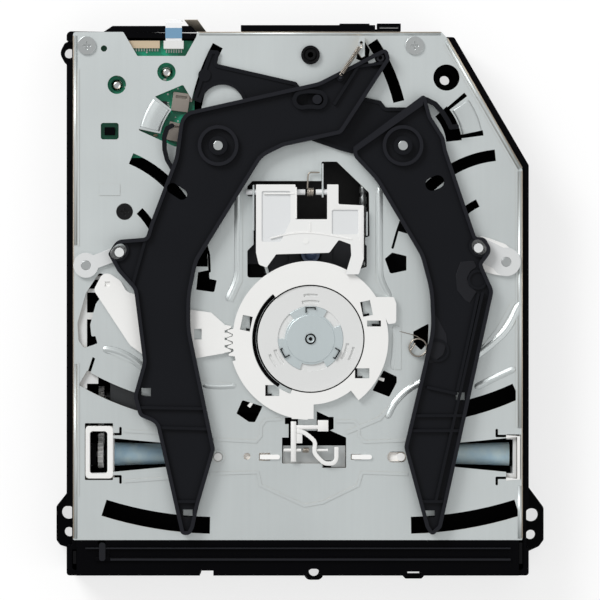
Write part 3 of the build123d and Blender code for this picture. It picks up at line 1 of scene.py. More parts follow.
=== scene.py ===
# %% [markdown]
# A slot-loading disc drive seen from above, dressed piece by piece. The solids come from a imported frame, so
# this lesson adds what a solid can't show: softened edges, moulded grain, zinc sheen, wound springs, a bent
# flat cable and the parts of a small circuit board.

# %% Load the frame
import json
import math

import bmesh
import bpy
from mathutils import Matrix, Vector


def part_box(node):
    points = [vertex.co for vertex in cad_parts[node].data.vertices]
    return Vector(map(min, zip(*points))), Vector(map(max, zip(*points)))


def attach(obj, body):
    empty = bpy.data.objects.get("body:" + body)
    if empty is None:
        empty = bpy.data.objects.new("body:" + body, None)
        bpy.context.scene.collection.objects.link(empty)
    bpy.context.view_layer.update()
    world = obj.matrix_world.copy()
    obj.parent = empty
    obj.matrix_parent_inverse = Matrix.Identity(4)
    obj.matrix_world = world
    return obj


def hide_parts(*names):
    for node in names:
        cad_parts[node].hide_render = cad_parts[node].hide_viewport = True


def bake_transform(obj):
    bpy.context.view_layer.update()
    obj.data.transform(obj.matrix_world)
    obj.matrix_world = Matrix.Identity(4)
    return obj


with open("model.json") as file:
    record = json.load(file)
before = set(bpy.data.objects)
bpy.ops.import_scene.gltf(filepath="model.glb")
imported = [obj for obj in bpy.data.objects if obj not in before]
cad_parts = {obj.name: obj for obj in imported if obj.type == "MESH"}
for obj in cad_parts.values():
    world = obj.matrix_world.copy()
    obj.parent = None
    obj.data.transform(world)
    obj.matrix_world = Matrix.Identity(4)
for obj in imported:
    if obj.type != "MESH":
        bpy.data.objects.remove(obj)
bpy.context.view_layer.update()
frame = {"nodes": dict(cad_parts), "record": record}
MM = 0.001
CASE = "case_body"

# %% [markdown]
# Colours are read off real parts as display values from 0 to 255 and turned into the linear values that a
# shader works in. Writing them this way keeps them easy to compare with a swatch.


# %% Colours
def shade(red, green, blue):
    """Linear colour of a display colour."""
    parts = [v / 255 for v in (red, green, blue)]
    return tuple(v / 12.92 if v < 0.04045 else ((v + 0.055) / 1.055) ** 2.4 for v in parts) + (1.0,)


ZINC = shade(209, 215, 215)
RAW_EDGE = shade(198, 184, 166)
ARM_BLACK = shade(9, 11, 17)
RIB_WEAR_AND_SHEEN = shade(33, 34, 40)
CASE_BLACK = shade(2, 2, 4)
NYLON_WHITE = shade(238, 238, 236)
NYLON_GREY = shade(214, 216, 216)
CLAMPER_WHITE = shade(221, 222, 221)
CAP_GREY = shade(208, 218, 220)
ROLLER_BLUE = shade(228, 250, 255)
ROLLER_DEEP = shade(192, 230, 252)
BOARD_GREEN = shade(0, 140, 104)
BOARD_POUR = shade(12, 162, 124)
SOLDER = shade(196, 200, 196)
TAN = shade(196, 178, 150)
SWITCH_GREY = shade(160, 152, 144)
SPRING_GREY = shade(168, 160, 150)
FILM_BLUE = shade(111, 151, 181)
print("zinc, linear", [round(v, 3) for v in ZINC[:3]])


# %% [markdown]
# Several finishes share the same effects, so each effect is a node group with named sliders. The first makes
# the fine grain of moulded plastic: a height for the bump and a slight change of roughness. The second is the
# slow cloudiness of a zinc coat with faint rolling lines along the sheet. The third finds the cut edges of a
# sheet and the tops of ribs from the height of a point, because a pressed edge is bare and a rib's top is
# rubbed; its lighter colour is wear and a painted sheen. The same height also marks parts given painted shade.


# %% Node group helpers
def new_group(name, inputs, outputs):
    """Empty shader group with named sockets."""
    group = bpy.data.node_groups.new(name, "ShaderNodeTree")
    for label, kind, value in inputs:
        socket = group.interface.new_socket(label, in_out="INPUT", socket_type=kind)
        socket.default_value = value
    for label, kind in outputs:
        group.interface.new_socket(label, in_out="OUTPUT", socket_type=kind)
    return group, group.nodes.new("NodeGroupInput"), group.nodes.new("NodeGroupOutput")


def feed(tree, target, value):
    """Links a socket to an input, or sets a plain value on it."""
    if isinstance(value, bpy.types.NodeSocket):
        tree.links.new(value, target)
    else:
        target.default_value = value


def add_node(tree, kind, inputs):
    """New node with its inputs fed by name or number."""
    node = tree.nodes.new(kind)
    for label, value in inputs.items():
        feed(tree, node.inputs[label], value)
    return node


def math_node(group, operation, first, second):
    """Math node; each operand is a socket or a number."""
    node = add_node(group, "ShaderNodeMath", {0: first, 1: second})
    node.operation = operation
    return node.outputs[0]


def mix_colours(group, factor, first, second):
    """Colour mix; each side is a socket or a colour."""
    node = add_node(group, "ShaderNodeMix", {"Factor": factor})
    node.data_type = "RGBA"
    for label, value in (("A", first), ("B", second)):
        feed(group, [s for s in node.inputs if s.name == label and s.type == "RGBA"][0], value)
    return [s for s in node.outputs if s.type == "RGBA"][0]


def object_place(tree):
    """Coordinates of the shaded point on its object."""
    return tree.nodes.new("ShaderNodeTexCoord").outputs["Object"]


def object_axis(tree, axis):
    """One coordinate of the shaded point, in metres."""
    return add_node(tree, "ShaderNodeSeparateXYZ", {0: object_place(tree)}).outputs[axis]


def noise(group, scale, detail, stretch=None):
    """Noise on object coordinates; scale is in grains per metre."""
    place = object_place(group)
    if stretch:
        place = add_node(group, "ShaderNodeMapping", {"Scale": stretch, "Vector": place}).outputs[0]
    return add_node(group, "ShaderNodeTexNoise", {"Detail": detail, "Vector": place, "Scale": scale}).outputs["Fac"]


def tint_colour(group, start, end, change):
    """Gives out the group's colour, brightened or darkened by a change."""
    tint = add_node(group, "ShaderNodeVectorMath", {0: start.outputs["Colour"]})
    tint.operation = "SCALE"
    feed(group, tint.inputs["Scale"], math_node(group, "ADD", 1.0, change))
    group.links.new(tint.outputs[0], end.inputs["Colour"])


# %% Effect groups
EFFECT_OUTPUTS = [("Colour", "NodeSocketColor"), ("Roughness", "NodeSocketFloat"), ("Height", "NodeSocketFloat")]


def grain_group():
    """Fine moulded grain: colour, roughness and height."""
    group, start, end = new_group(
        "moulded_grain",
        [("Colour", "NodeSocketColor", (0.5, 0.5, 0.5, 1)), ("Cloud", "NodeSocketFloat", 0.1),
         ("Roughness", "NodeSocketFloat", 0.5), ("Scale", "NodeSocketFloat", 2500.0)],
        EFFECT_OUTPUTS)
    fine = noise(group, start.outputs["Scale"], 2.0)
    broad = noise(group, 45.0, 4.0)
    swing = math_node(group, "SUBTRACT", broad, 0.5)
    tint_colour(group, start, end, math_node(group, "MULTIPLY", swing, start.outputs["Cloud"]))
    rough = math_node(group, "ADD", start.outputs["Roughness"], math_node(group, "MULTIPLY", swing, 0.18))
    group.links.new(rough, end.inputs["Roughness"])
    group.links.new(fine, end.inputs["Height"])
    return group


def zinc_group():
    """Zinc coat: cloudy blooms and fine rolling lines."""
    group, start, end = new_group(
        "zinc_bloom",
        [("Colour", "NodeSocketColor", ZINC), ("Bloom", "NodeSocketFloat", 0.12), ("Lines", "NodeSocketFloat", 0.06),
         ("Roughness", "NodeSocketFloat", 0.4)],
        EFFECT_OUTPUTS)
    bloom = math_node(group, "SUBTRACT", noise(group, 22.0, 5.0), 0.5)
    lines = math_node(group, "SUBTRACT", noise(group, 900.0, 2.0, (1.0, 0.03, 1.0)), 0.5)
    change = math_node(group, "ADD", math_node(group, "MULTIPLY", bloom, start.outputs["Bloom"]),
                       math_node(group, "MULTIPLY", lines, start.outputs["Lines"]))
    tint_colour(group, start, end, change)
    rough = math_node(group, "ADD", start.outputs["Roughness"], math_node(group, "MULTIPLY", bloom, 0.2))
    group.links.new(rough, end.inputs["Roughness"])
    group.links.new(lines, end.inputs["Height"])
    return group


def rim_group():
    """Masks from the shape: upright cut edges, and surfaces above a height."""
    group, start, end = new_group(
        "rims_and_edges",
        [("Height", "NodeSocketFloat", 0.027), ("Softness", "NodeSocketFloat", 0.0004)],
        [("Upright", "NodeSocketFloat"), ("Above", "NodeSocketFloat")])
    facing = group.nodes.new("ShaderNodeNewGeometry").outputs["Normal"]
    normal = add_node(group, "ShaderNodeSeparateXYZ", {0: facing})
    lean = math_node(group, "ABSOLUTE", normal.outputs["Z"], 0.0)
    group.links.new(math_node(group, "LESS_THAN", lean, 0.5), end.inputs["Upright"])
    top = math_node(group, "ADD", start.outputs["Height"], start.outputs["Softness"])
    step = add_node(group, "ShaderNodeMapRange", {
        "Value": object_axis(group, "Z"), "From Min": start.outputs["Height"], "From Max": top})
    group.links.new(step.outputs["Result"], end.inputs["Above"])
    return group


GRAIN = grain_group()
ZINC_BLOOM = zinc_group()
RIMS = rim_group()
print("effect groups", [g.name for g in (GRAIN, ZINC_BLOOM, RIMS)])


# %% [markdown]
# Each finish is a material with one Principled shader. The groups feed colour, roughness and a small bump;
# sliders that are the same all over, such as metallic, are set on the shader itself.


# %% Finish makers
FINISHES = {}


def blank(key, metallic=0.0, specular=0.5):
    """Adds a material to the finishes and returns its tree and shader."""
    material = bpy.data.materials.new(key + "_finish")
    material.use_nodes = True
    shader = material.node_tree.nodes["Principled BSDF"]
    shader.inputs["Metallic"].default_value = metallic
    shader.inputs["Specular IOR Level"].default_value = specular
    FINISHES[key] = material
    return material.node_tree, shader


def place_effect(tree, group, **values):
    """Puts a group into a material with its own values."""
    node = tree.nodes.new("ShaderNodeGroup")
    node.node_tree = group
    for label, value in values.items():
        node.inputs[label].default_value = value
    return node


def finish(tree, shader, effect, bump, colour=None):
    """Joins an effect to the shader, with its height as a bump of that depth in metres."""
    tree.links.new(colour or effect.outputs["Colour"], shader.inputs["Base Color"])
    tree.links.new(effect.outputs["Roughness"], shader.inputs["Roughness"])
    node = add_node(tree, "ShaderNodeBump", {
        "Strength": 1.0, "Distance": bump, "Height": effect.outputs["Height"]})
    tree.links.new(node.outputs[0], shader.inputs["Normal"])


def plastic(key, colour, roughness=0.5, cloud=0.08, bump=0.00001, rim_height=None, rim_colour=None, specular=0.5):
    """Moulded plastic, with another colour above a height if one is given: on ribs a lighter top paints sheen and wear,
    elsewhere the darker part paints shade.
    """
    tree, shader = blank(key, specular=specular)
    grain = place_effect(tree, GRAIN, Colour=colour, Roughness=roughness, Cloud=cloud)
    top = None
    if rim_height:
        rims = place_effect(tree, RIMS, Height=rim_height)
        top = mix_colours(tree, rims.outputs["Above"], grain.outputs["Colour"], rim_colour)
    finish(tree, shader, grain, bump, top)


def metal(key, colour, roughness=0.4, bloom=0.1, lines=0.06, edge=None, metallic=0.85, black_before=None):
    """Sheet or turned metal, with bare cut edges if a colour is given, and black in front of a Y if one is given."""
    tree, shader = blank(key, metallic=metallic)
    zinc = place_effect(tree, ZINC_BLOOM, Colour=colour, Roughness=roughness, Bloom=bloom, Lines=lines)
    top = None
    if edge:
        rims = place_effect(tree, RIMS)
        top = mix_colours(tree, rims.outputs["Upright"], zinc.outputs["Colour"], edge)
    if black_before is not None:
        front = math_node(tree, "LESS_THAN", object_axis(tree, "Y"), black_before)
        top = mix_colours(tree, front, top or zinc.outputs["Colour"], CASE_BLACK)
    finish(tree, shader, zinc, 0.000004, top)


def roller_finish():
    """Soft blue foam rubber with pale blotches."""
    tree, shader = blank("roller_rubber", specular=0.3)
    grain = place_effect(tree, GRAIN, Colour=ROLLER_BLUE, Roughness=0.75, Cloud=0.3)
    blotch = add_node(tree, "ShaderNodeMapRange", {
        "From Min": 0.35, "From Max": 0.68, "Value": noise(tree, 160.0, 4.0)})
    finish(tree, shader, grain, 0.00002, mix_colours(tree, blotch.outputs["Result"], ROLLER_DEEP, ROLLER_BLUE))


def board_finish():
    """Green solder mask over paler copper areas, with small round vias."""
    tree, shader = blank("board")
    grain = place_effect(tree, GRAIN, Colour=BOARD_GREEN, Roughness=0.3, Cloud=0.2)
    pour = math_node(tree, "GREATER_THAN", noise(tree, 170.0, 1.0), 0.52)
    colour = mix_colours(tree, pour, grain.outputs["Colour"], BOARD_POUR)
    cells = add_node(tree, "ShaderNodeTexVoronoi", {"Scale": 420.0, "Vector": object_place(tree)})
    via = math_node(tree, "LESS_THAN", cells.outputs["Distance"], 0.13)
    finish(tree, shader, grain, 0.000008, mix_colours(tree, via, colour, SOLDER))


# %% Finishes
COVER_SHADE_ABOVE = 0.0004
ARM_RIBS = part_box("left_arm")[1][2] - 0.0011
FLAP_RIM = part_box("clamp_flap")[1][2] - 0.0003
PLATE_FRONT = -0.0648
# The cover's inside, above a low height, is painted near-black: painted shade where it shows through the deck window.
plastic("cover_steel", shade(150, 154, 154), 0.45, 0.1, 0.000004, COVER_SHADE_ABOVE, shade(8, 8, 9))
plastic("case_plastic", CASE_BLACK, 0.42, 0.2, specular=0.05)
metal("zinc_steel", ZINC, 0.48, 0.10, 0.05, RAW_EDGE, 0.75, black_before=PLATE_FRONT)
# The rib tops above ARM_RIBS are lighter: wear and a painted sheen.
plastic("arm_plastic", ARM_BLACK, 0.5, 0.25, 0.00001, ARM_RIBS, RIB_WEAR_AND_SHEEN, specular=0.16)
plastic("grey_nylon", NYLON_GREY, 0.45, 0.05)
plastic("white_nylon", NYLON_WHITE, 0.42, 0.04)
# The flap is greyer below FLAP_RIM and white above it: painted shade in its recess.
plastic("flap_nylon", shade(222, 224, 225), 0.42, 0.04, 0.00001, FLAP_RIM, NYLON_WHITE)
plastic("guide_white", shade(250, 250, 248), 0.4, 0.03)
plastic("clamper_white", CLAMPER_WHITE, 0.42, 0.04)
metal("pin_steel", shade(196, 200, 200), 0.3, 0.08, 0.1)
metal("cap_steel", CAP_GREY, 0.42, 0.08, 0.04, metallic=0.7)
roller_finish()
metal("motor_can", shade(84, 86, 88), 0.35, 0.08, 0.1)
plastic("deck_steel", shade(16, 17, 19), 0.5, 0.15, specular=0.1)
plastic("damper_rubber", shade(12, 12, 14), 0.7, 0.2, specular=0.12)
metal("sled_metal", shade(66, 67, 70), 0.5, 0.15, 0.02)
plastic("lens_plastic", shade(120, 140, 180), 0.1, 0.0)
board_finish()
metal("switch_metal", SWITCH_GREY, 0.4, 0.25, 0.1)
plastic("ribbon_white", shade(236, 237, 238), 0.25, 0.03)
plastic("black_steel", shade(14, 14, 16), 0.3, 0.1, specular=0.25)
metal("spring_steel", SPRING_GREY, 0.28, 0.05, 0.0)
metal("solder", SOLDER, 0.3, 0.2, 0.0)
plastic("chip", shade(30, 31, 33), 0.45, 0.1, specular=0.3)
plastic("tan", TAN, 0.5, 0.1)
plastic("film", FILM_BLUE, 0.3, 0.1)
metal("zinc_press", ZINC, 0.42, 0.08, 0.03, metallic=0.75)
metal("raw_edge", RAW_EDGE, 0.5, 0.5, 0.3, metallic=0.5)
# Near-black for painted shade in the gap at the bore's edge.
plastic("bore_gap_shade", shade(8, 8, 9), 0.9, 0.2, specular=0.05)
metal("shelf", shade(188, 192, 192), 0.4, 0.1, 0.05, metallic=0.7)
plastic("hatched", shade(168, 160, 146), 0.5, 0.9)
# Near-black for painted shade in gaps, holes and recesses.
plastic("shade_strip", shade(10, 11, 12), 0.6, 0.05, specular=0.1)
plastic("nylon_extra", NYLON_WHITE, 0.42, 0.04)
plastic("arm_pad", shade(22, 23, 28), 0.55, 0.2, specular=0.2)
print("finishes", len(FINISHES))


# %% [markdown]
# Moulded and pressed parts have no knife edges. Each solid keeps its mesh and gets modifiers: weld the loose
# triangles, dissolve flat areas, then bevel what is sharper than 35 degrees. A narrow bevel catches light
# along every rib.

# %% Dress the solids
SLOT_OF = {s["node"]: s["material_slot"] for s in frame["record"]["subparts"]}
BEVELS = {"top_plate": 0.2, "chassis": 0.25, "left_arm": 0.16, "right_arm": 0.16, "lock_ring": 0.16,
          "clamp_flap": 0.18, "sector_lever": 0.18, "clamper_disc": 0.2, "front_guide": 0.2}
OWN_FINISH = {"clamp_flap": "flap_nylon", "disc_guides": "guide_white", "sensor_board": "board"}
TOOTHED = ("roller_gear", "idler_gear", "motor_gear")


def edge_bevel(piece, width):
    """Small bevel on every edge sharper than 35 degrees."""
    edge = piece.modifiers.new("bevel", "BEVEL")
    edge.width = width * MM
    edge.segments = 2
    edge.limit_method = "ANGLE"
    edge.angle_limit = math.radians(35)
    return piece


def soften(piece, width):
    """Weld, clean and bevel a piece with modifiers."""
    weld = piece.modifiers.new("weld", "WELD")
    weld.merge_threshold = 0.000002
    flat = piece.modifiers.new("flat", "DECIMATE")
    flat.decimate_type = "DISSOLVE"
    flat.angle_limit = math.radians(1.0)
    edge_bevel(piece, width)


for name, node in frame["nodes"].items():
    node.data.materials.clear()
    node.data.materials.append(FINISHES[OWN_FINISH.get(name, SLOT_OF[name])])
    soften(node, BEVELS.get(name, 0.08))
    if name in TOOTHED:
        node.modifiers["bevel"].segments = 1
print("dressed", len(frame["nodes"]))

# %% [markdown]
# The long spring is wound wire. A spring is a path swept by a circle, and the path follows a rule, so
# Geometry Nodes make it: a spiral with a given radius, height and number of turns becomes a curve, and a
# small circle is swept along it. The same tree makes every coil here. Every tree ends in the same way: real
# geometry, then its finish.


# %% Coil tree
def new_tree(name, inputs):
    """Geometry Nodes tree with named inputs and a finish, and its two end nodes."""
    tree = bpy.data.node_groups.new(name, "GeometryNodeTree")
    for label, kind, value in inputs:
        tree.interface.new_socket(label, in_out="INPUT", socket_type=kind).default_value = value
    tree.interface.new_socket("Finish", in_out="INPUT", socket_type="NodeSocketMaterial")
    tree.interface.new_socket("Geometry", in_out="OUTPUT", socket_type="NodeSocketGeometry")
    return tree, tree.nodes.new("NodeGroupInput"), tree.nodes.new("NodeGroupOutput")


def close_tree(tree, start, end, chain):
    """Links a chain of nodes and ends it with Realize Instances and Set Material."""
    realize = tree.nodes.new("GeometryNodeRealizeInstances")
    paint = tree.nodes.new("GeometryNodeSetMaterial")
    tree.links.new(start.outputs["Finish"], paint.inputs["Material"])
    chain = list(chain) + [realize, paint, end]
    for first, second in zip(chain, chain[1:]):
        tree.links.new(first.outputs[0], second.inputs[0])
    return tree


def coil_tree():
    """Winds a wire coil along Z."""
    tree, start, end = new_tree("wound_coil", (
        ("Turns", "NodeSocketFloat", 10.0), ("Radius", "NodeSocketFloat", 0.0006),
        ("Length", "NodeSocketFloat", 0.01), ("Wire", "NodeSocketFloat", 0.00015)))
    radius = start.outputs["Radius"]
    spiral = add_node(tree, "GeometryNodeCurveSpiral", {
        "Resolution": 14, "Rotations": start.outputs["Turns"], "Start Radius": radius, "End Radius": radius,
        "Height": start.outputs["Length"]})
    section = add_node(tree, "GeometryNodeCurvePrimitiveCircle", {"Resolution": 7, "Radius": start.outputs["Wire"]})
    sweep = add_node(tree, "GeometryNodeCurveToMesh", {"Profile Curve": section.outputs[0], "Fill Caps": True})
    smooth = tree.nodes.new("GeometryNodeSetShadeSmooth")
    return close_tree(tree, start, end, (spiral, sweep, smooth))


COIL = coil_tree()


# %% [markdown]
# A few helpers repeat from here on: one puts an object in the scene, one reads back what modifiers have made,
# and one turns an edited shape into a mesh with its finish.


# %% Mesh helpers
def placed(name, data):
    """Object of some data, linked to the scene."""
    item = bpy.data.objects.new(name, data)
    bpy.context.collection.objects.link(item)
    return item


def evaluated_mesh(holder):
    """Plain mesh of an object as its modifiers leave it; the object goes."""
    mesh = bpy.data.meshes.new_from_object(holder.evaluated_get(bpy.context.evaluated_depsgraph_get()))
    bpy.data.objects.remove(holder)
    return mesh


def bake_nodes(tree, name, values):
    """Runs a Geometry Nodes tree once and returns its plain mesh."""
    holder = placed(name + "_holder", bpy.data.meshes.new(name + "_seed"))
    modifier = holder.modifiers.new("nodes", "NODES")
    modifier.node_group = tree
    for item in tree.interface.items_tree:
        if item.item_type == "SOCKET" and item.in_out == "INPUT" and item.name in values:
            modifier[item.identifier] = values[item.name]
    return evaluated_mesh(holder)


def new_piece(name, mesh, body=CASE):
    """Object in place for a mesh, riding on a body."""
    piece = placed(name, mesh)
    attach(piece, body)
    return piece


def wire_mesh(name, points, radius):
    """Round wire along points in millimetres, as a mesh."""
    curve = bpy.data.curves.new(name + "_path", "CURVE")
    curve.dimensions = "3D"
    spline = curve.splines.new("NURBS")
    spline.points.add(len(points) - 1)
    for spot, (x, y, z) in zip(spline.points, points):
        spot.co = (x * MM, y * MM, z * MM, 1)
    spline.order_u = 3
    spline.use_endpoint_u = True
    curve.bevel_depth = radius * MM
    curve.bevel_resolution = 3
    curve.use_fill_caps = True
    return evaluated_mesh(placed(name + "_path", curve))


def finished_mesh(name, shape, material):
    """Mesh of a bmesh with its material; the bmesh goes."""
    mesh = bpy.data.meshes.new(name)
    shape.to_mesh(mesh)
    shape.free()
    mesh.materials.append(material)
    return mesh


def join_meshes(name, meshes, material):
    """One smooth mesh of several, with one material."""
    shape = bmesh.new()
    for mesh in meshes:
        shape.from_mesh(mesh)
    joined = finished_mesh(name, shape, material)
    for face in joined.polygons:
        face.use_smooth = True
    return joined


# %% The arm spring
SPRING_LOW, SPRING_HIGH = [Vector(corner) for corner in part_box("arm_spring")]
SPRING_WIRE = 0.16
SPRING_RADIUS = 0.6
HOOK_ROOM = 1.8
SPRING_Z = SPRING_HIGH.z - (SPRING_RADIUS + SPRING_WIRE) * MM
spring_start = Vector((SPRING_HIGH.x, SPRING_HIGH.y, SPRING_Z))
spring_end = Vector((SPRING_LOW.x, SPRING_LOW.y, spring_start.z))
spring_run = spring_end - spring_start
coil_length = spring_run.length - HOOK_ROOM * MM
coil_mesh = bake_nodes(COIL, "arm_spring_coil", {
    "Turns": 22.0, "Radius": SPRING_RADIUS * MM, "Length": coil_length, "Wire": SPRING_WIRE * MM,
    "Finish": FINISHES["spring_steel"]})
coil_mesh.transform(Vector((0, 0, 1)).rotation_difference(spring_run.normalized()).to_matrix().to_4x4())
middle = (spring_start + spring_end) / 2
offset = middle - sum((v.co for v in coil_mesh.vertices), Vector()) / len(coil_mesh.vertices)
for vertex in coil_mesh.vertices:
    vertex.co += offset
length_mm = spring_run.length * 1000
print("spring length, mm", round(length_mm, 1))


def along(distance, side=0.0, rise=0.0):
    """Point in millimetres at a distance along the spring from its rear end."""
    direction = spring_run.normalized()
    across = Vector((-direction.y, direction.x, 0))
    spot = spring_start + direction * distance * MM + across * side * MM
    return (spot.x * 1000, spot.y * 1000, spot.z * 1000 + rise)


rear_hook = [along(1.2, 0.45), along(0.7, 0.3), along(0.1, 0.45), along(-0.2, 0), along(0.1, -0.4)]
front_hook = [along(length_mm - 1.2, -0.45), along(length_mm - 0.6, -0.3, 0.25), along(length_mm - 0.1, -0.4, 0.3),
              along(length_mm + 0.1, 0, 0.3), along(length_mm - 0.2, 0.4, 0.3)]
hooks = [wire_mesh("rear_hook", rear_hook, SPRING_WIRE), wire_mesh("front_hook", front_hook, SPRING_WIRE)]
arm_spring = placed("arm_spring_coil",
                    join_meshes("arm_spring_mesh", [coil_mesh] + hooks, FINISHES["spring_steel"]))
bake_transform(arm_spring)
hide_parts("arm_spring")

# %% [markdown]
# The same tree winds the three small springs. Their straight legs are wires along a few points.


# %% Small springs
def coil_on(name, centre, axis, turns, radius, length, wire):
    """Coil mesh about an axis with its middle at a centre in millimetres."""
    mesh = bake_nodes(COIL, name, {"Turns": turns, "Radius": radius * MM, "Length": length * MM, "Wire": wire * MM,
                                   "Finish": FINISHES["spring_steel"]})
    mesh.transform(Matrix.Translation((0, 0, -length * MM / 2)))
    mesh.transform(Vector((0, 0, 1)).rotation_difference(Vector(axis)).to_matrix().to_4x4())
    mesh.transform(Matrix.Translation(Vector(centre) * MM))
    return mesh


def box_mm(name):
    """Corners of a node's box in millimetres."""
    low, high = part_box(name)
    return [v * 1000 for v in low], [v * 1000 for v in high]


SHEET_TOUCH = 23.14
RING_LOW, RING_HIGH = box_mm("ring_spring")
ring_x, ring_y = RING_HIGH[0] - 3.2, RING_LOW[1] + 3.2
ring_z = (RING_LOW[2] + RING_HIGH[2]) / 2
ring_leg = [(ring_x + 2.2, ring_y + 1.8, ring_z - 0.2), (ring_x, ring_y + 3.5, ring_z - 0.4),
            (ring_x - 2.0, ring_y + 4.2, SHEET_TOUCH + 0.02), (ring_x - 4.4, ring_y + 4.8, SHEET_TOUCH),
            (RING_LOW[0] + 0.3, ring_y + 5.2, SHEET_TOUCH)]
ring_tail = [(ring_x + x, ring_y + y, ring_z + 0.1) for x, y in ((-2.6, -1.2), (-1.8, -0.2), (-1.0, 1.4))]
ring_parts = [coil_on("ring_coil", (ring_x, ring_y, ring_z), (0, 0, 1), 2.6, 2.85, 0.6, 0.27),
              wire_mesh("ring_leg", ring_leg, 0.12), wire_mesh("ring_tail", ring_tail, 0.25)]
ring_spring = new_piece("ring_spring_coil", join_meshes("ring_spring_mesh", ring_parts, FINISHES["spring_steel"]))
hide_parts("ring_spring")

FLAP_WIRE = 0.26
flap_low = box_mm("flap_spring")[0]
flap_y, flap_z = flap_low[1] + 1.5, flap_low[2] + 1.5
flap_leg = [(x, y, flap_z) for x, y in ((-1.0, flap_y + 1.15), (-0.9, flap_y + 3.0), (-0.8, 52.6), (-0.2, 53.2),
                                        (1.4, 53.2), (2.9, 53.2))]
flap_parts = [coil_on("flap_coil", (0.0, flap_y, flap_z), (1, 0, 0), 4.0, 1.2, 2.0, FLAP_WIRE),
              wire_mesh("flap_leg", flap_leg, FLAP_WIRE)]
flap_spring = new_piece("flap_spring_coil", join_meshes("flap_spring_mesh", flap_parts, FINISHES["spring_steel"]))
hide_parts("flap_spring")

RELEASE_LOW, RELEASE_HIGH = box_mm("release_spring")
release_mid = [(a + b) / 2 for a, b in zip(RELEASE_LOW, RELEASE_HIGH)]
release_spring = new_piece("release_spring_coil", coil_on("release_coil", release_mid, (1, 0, 0), 5.0, 0.66, 1.9, 0.2))
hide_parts("release_spring")

# %% [markdown]
# A rubber sleeve is a line with a radius that shrinks towards the middle of the drive. Geometry Nodes map the
# position along the line to a radius, roughen it a little with a seeded noise and sweep a circle.


# %% Roller sleeves
def sleeve_tree():
    """Makes a tapered, slightly uneven sleeve along X."""
    tree, start, end = new_tree("roller_sleeve", (
        ("Length", "NodeSocketFloat", 0.04), ("Start Radius", "NodeSocketFloat", 0.0038),
        ("End Radius", "NodeSocketFloat", 0.0025), ("Unevenness", "NodeSocketFloat", 0.00003),
        ("Seed", "NodeSocketFloat", 1.0)))
    reach = add_node(tree, "ShaderNodeCombineXYZ", {"X": start.outputs["Length"]})
    line = add_node(tree, "GeometryNodeCurvePrimitiveLine", {"End": reach.outputs[0]})
    fine = add_node(tree, "GeometryNodeResampleCurve", {"Count": 90})
    taper = add_node(tree, "ShaderNodeMapRange", {
        "Value": tree.nodes.new("GeometryNodeSplineParameter").outputs["Factor"],
        "To Min": start.outputs["Start Radius"], "To Max": start.outputs["End Radius"]})
    bumpy = tree.nodes.new("ShaderNodeTexNoise")
    bumpy.noise_dimensions = "4D"
    bumpy.inputs["Scale"].default_value = 400.0
    tree.links.new(start.outputs["Seed"], bumpy.inputs["W"])
    change = math_node(tree, "MULTIPLY", math_node(tree, "SUBTRACT", bumpy.outputs["Fac"], 1.0),
                       start.outputs["Unevenness"])
    radius = math_node(tree, "ADD", taper.outputs["Result"], change)
    thick = add_node(tree, "GeometryNodeSetCurveRadius", {"Radius": radius})
    section = add_node(tree, "GeometryNodeCurvePrimitiveCircle", {"Resolution": 56, "Radius": 1.0})
    sweep = add_node(tree, "GeometryNodeCurveToMesh", {"Profile Curve": section.outputs[0], "Fill Caps": True})
    if "Scale" in sweep.inputs:
        tree.links.new(radius, sweep.inputs["Scale"])
    smooth = tree.nodes.new("GeometryNodeSetShadeSmooth")
    return close_tree(tree, start, end, (line, fine, thick, sweep, smooth))


SLEEVE = sleeve_tree()
for name, seed in (("left_roller", 1.0), ("right_roller", 2.0)):
    low, high = [Vector(corner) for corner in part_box(name)]
    outer = (high.z - low.z) / 2
    mesh = bake_nodes(SLEEVE, name, {"Length": high.x - low.x, "Start Radius": outer, "End Radius": outer - 0.0013,
                                     "Unevenness": 0.00004, "Seed": seed, "Finish": FINISHES["roller_rubber"]})
    begin = low.x
    if name == "right_roller":
        mesh.transform(Matrix.Rotation(math.pi, 4, "Z"))
        begin = high.x
    mesh.transform(Matrix.Translation((begin, (low.y + high.y) / 2, (low.z + high.z) / 2)))
    sleeve = new_piece(name + "_sleeve", mesh, body="roller_body")
    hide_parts(name)
print("sleeves swept")

# %% [markdown]
# Rows of equal things are instances on a line of points. One small tree makes the pins of the plugs, the chips
# with their legs, and the rows of small parts and pads.


# %% Row tree
def row_tree():
    """Repeats a block along a line."""
    tree, start, end = new_tree("block_row", (
        ("Count", "NodeSocketInt", 8), ("Start", "NodeSocketVector", (0, 0, 0)),
        ("Step", "NodeSocketVector", (0.001, 0, 0)), ("Size", "NodeSocketVector", (0.0005,) * 3)))
    line = add_node(tree, "GeometryNodeMeshLine", {
        "Count": start.outputs["Count"], "Start Location": start.outputs["Start"], "Offset": start.outputs["Step"]})
    cube = add_node(tree, "GeometryNodeMeshCube", {"Size": start.outputs["Size"]})
    place = add_node(tree, "GeometryNodeInstanceOnPoints", {"Instance": cube.outputs[0]})
    return close_tree(tree, start, end, (line, place))


ROW = row_tree()


def row(name, count, first, step, size, finish_name):
    """Piece with a row of blocks; places and sizes in millimetres."""
    mesh = bake_nodes(ROW, name, {"Count": count, "Start": [v * MM for v in first], "Step": [v * MM for v in step],
                                  "Size": [v * MM for v in size], "Finish": FINISHES[finish_name]})
    return new_piece(name, mesh)


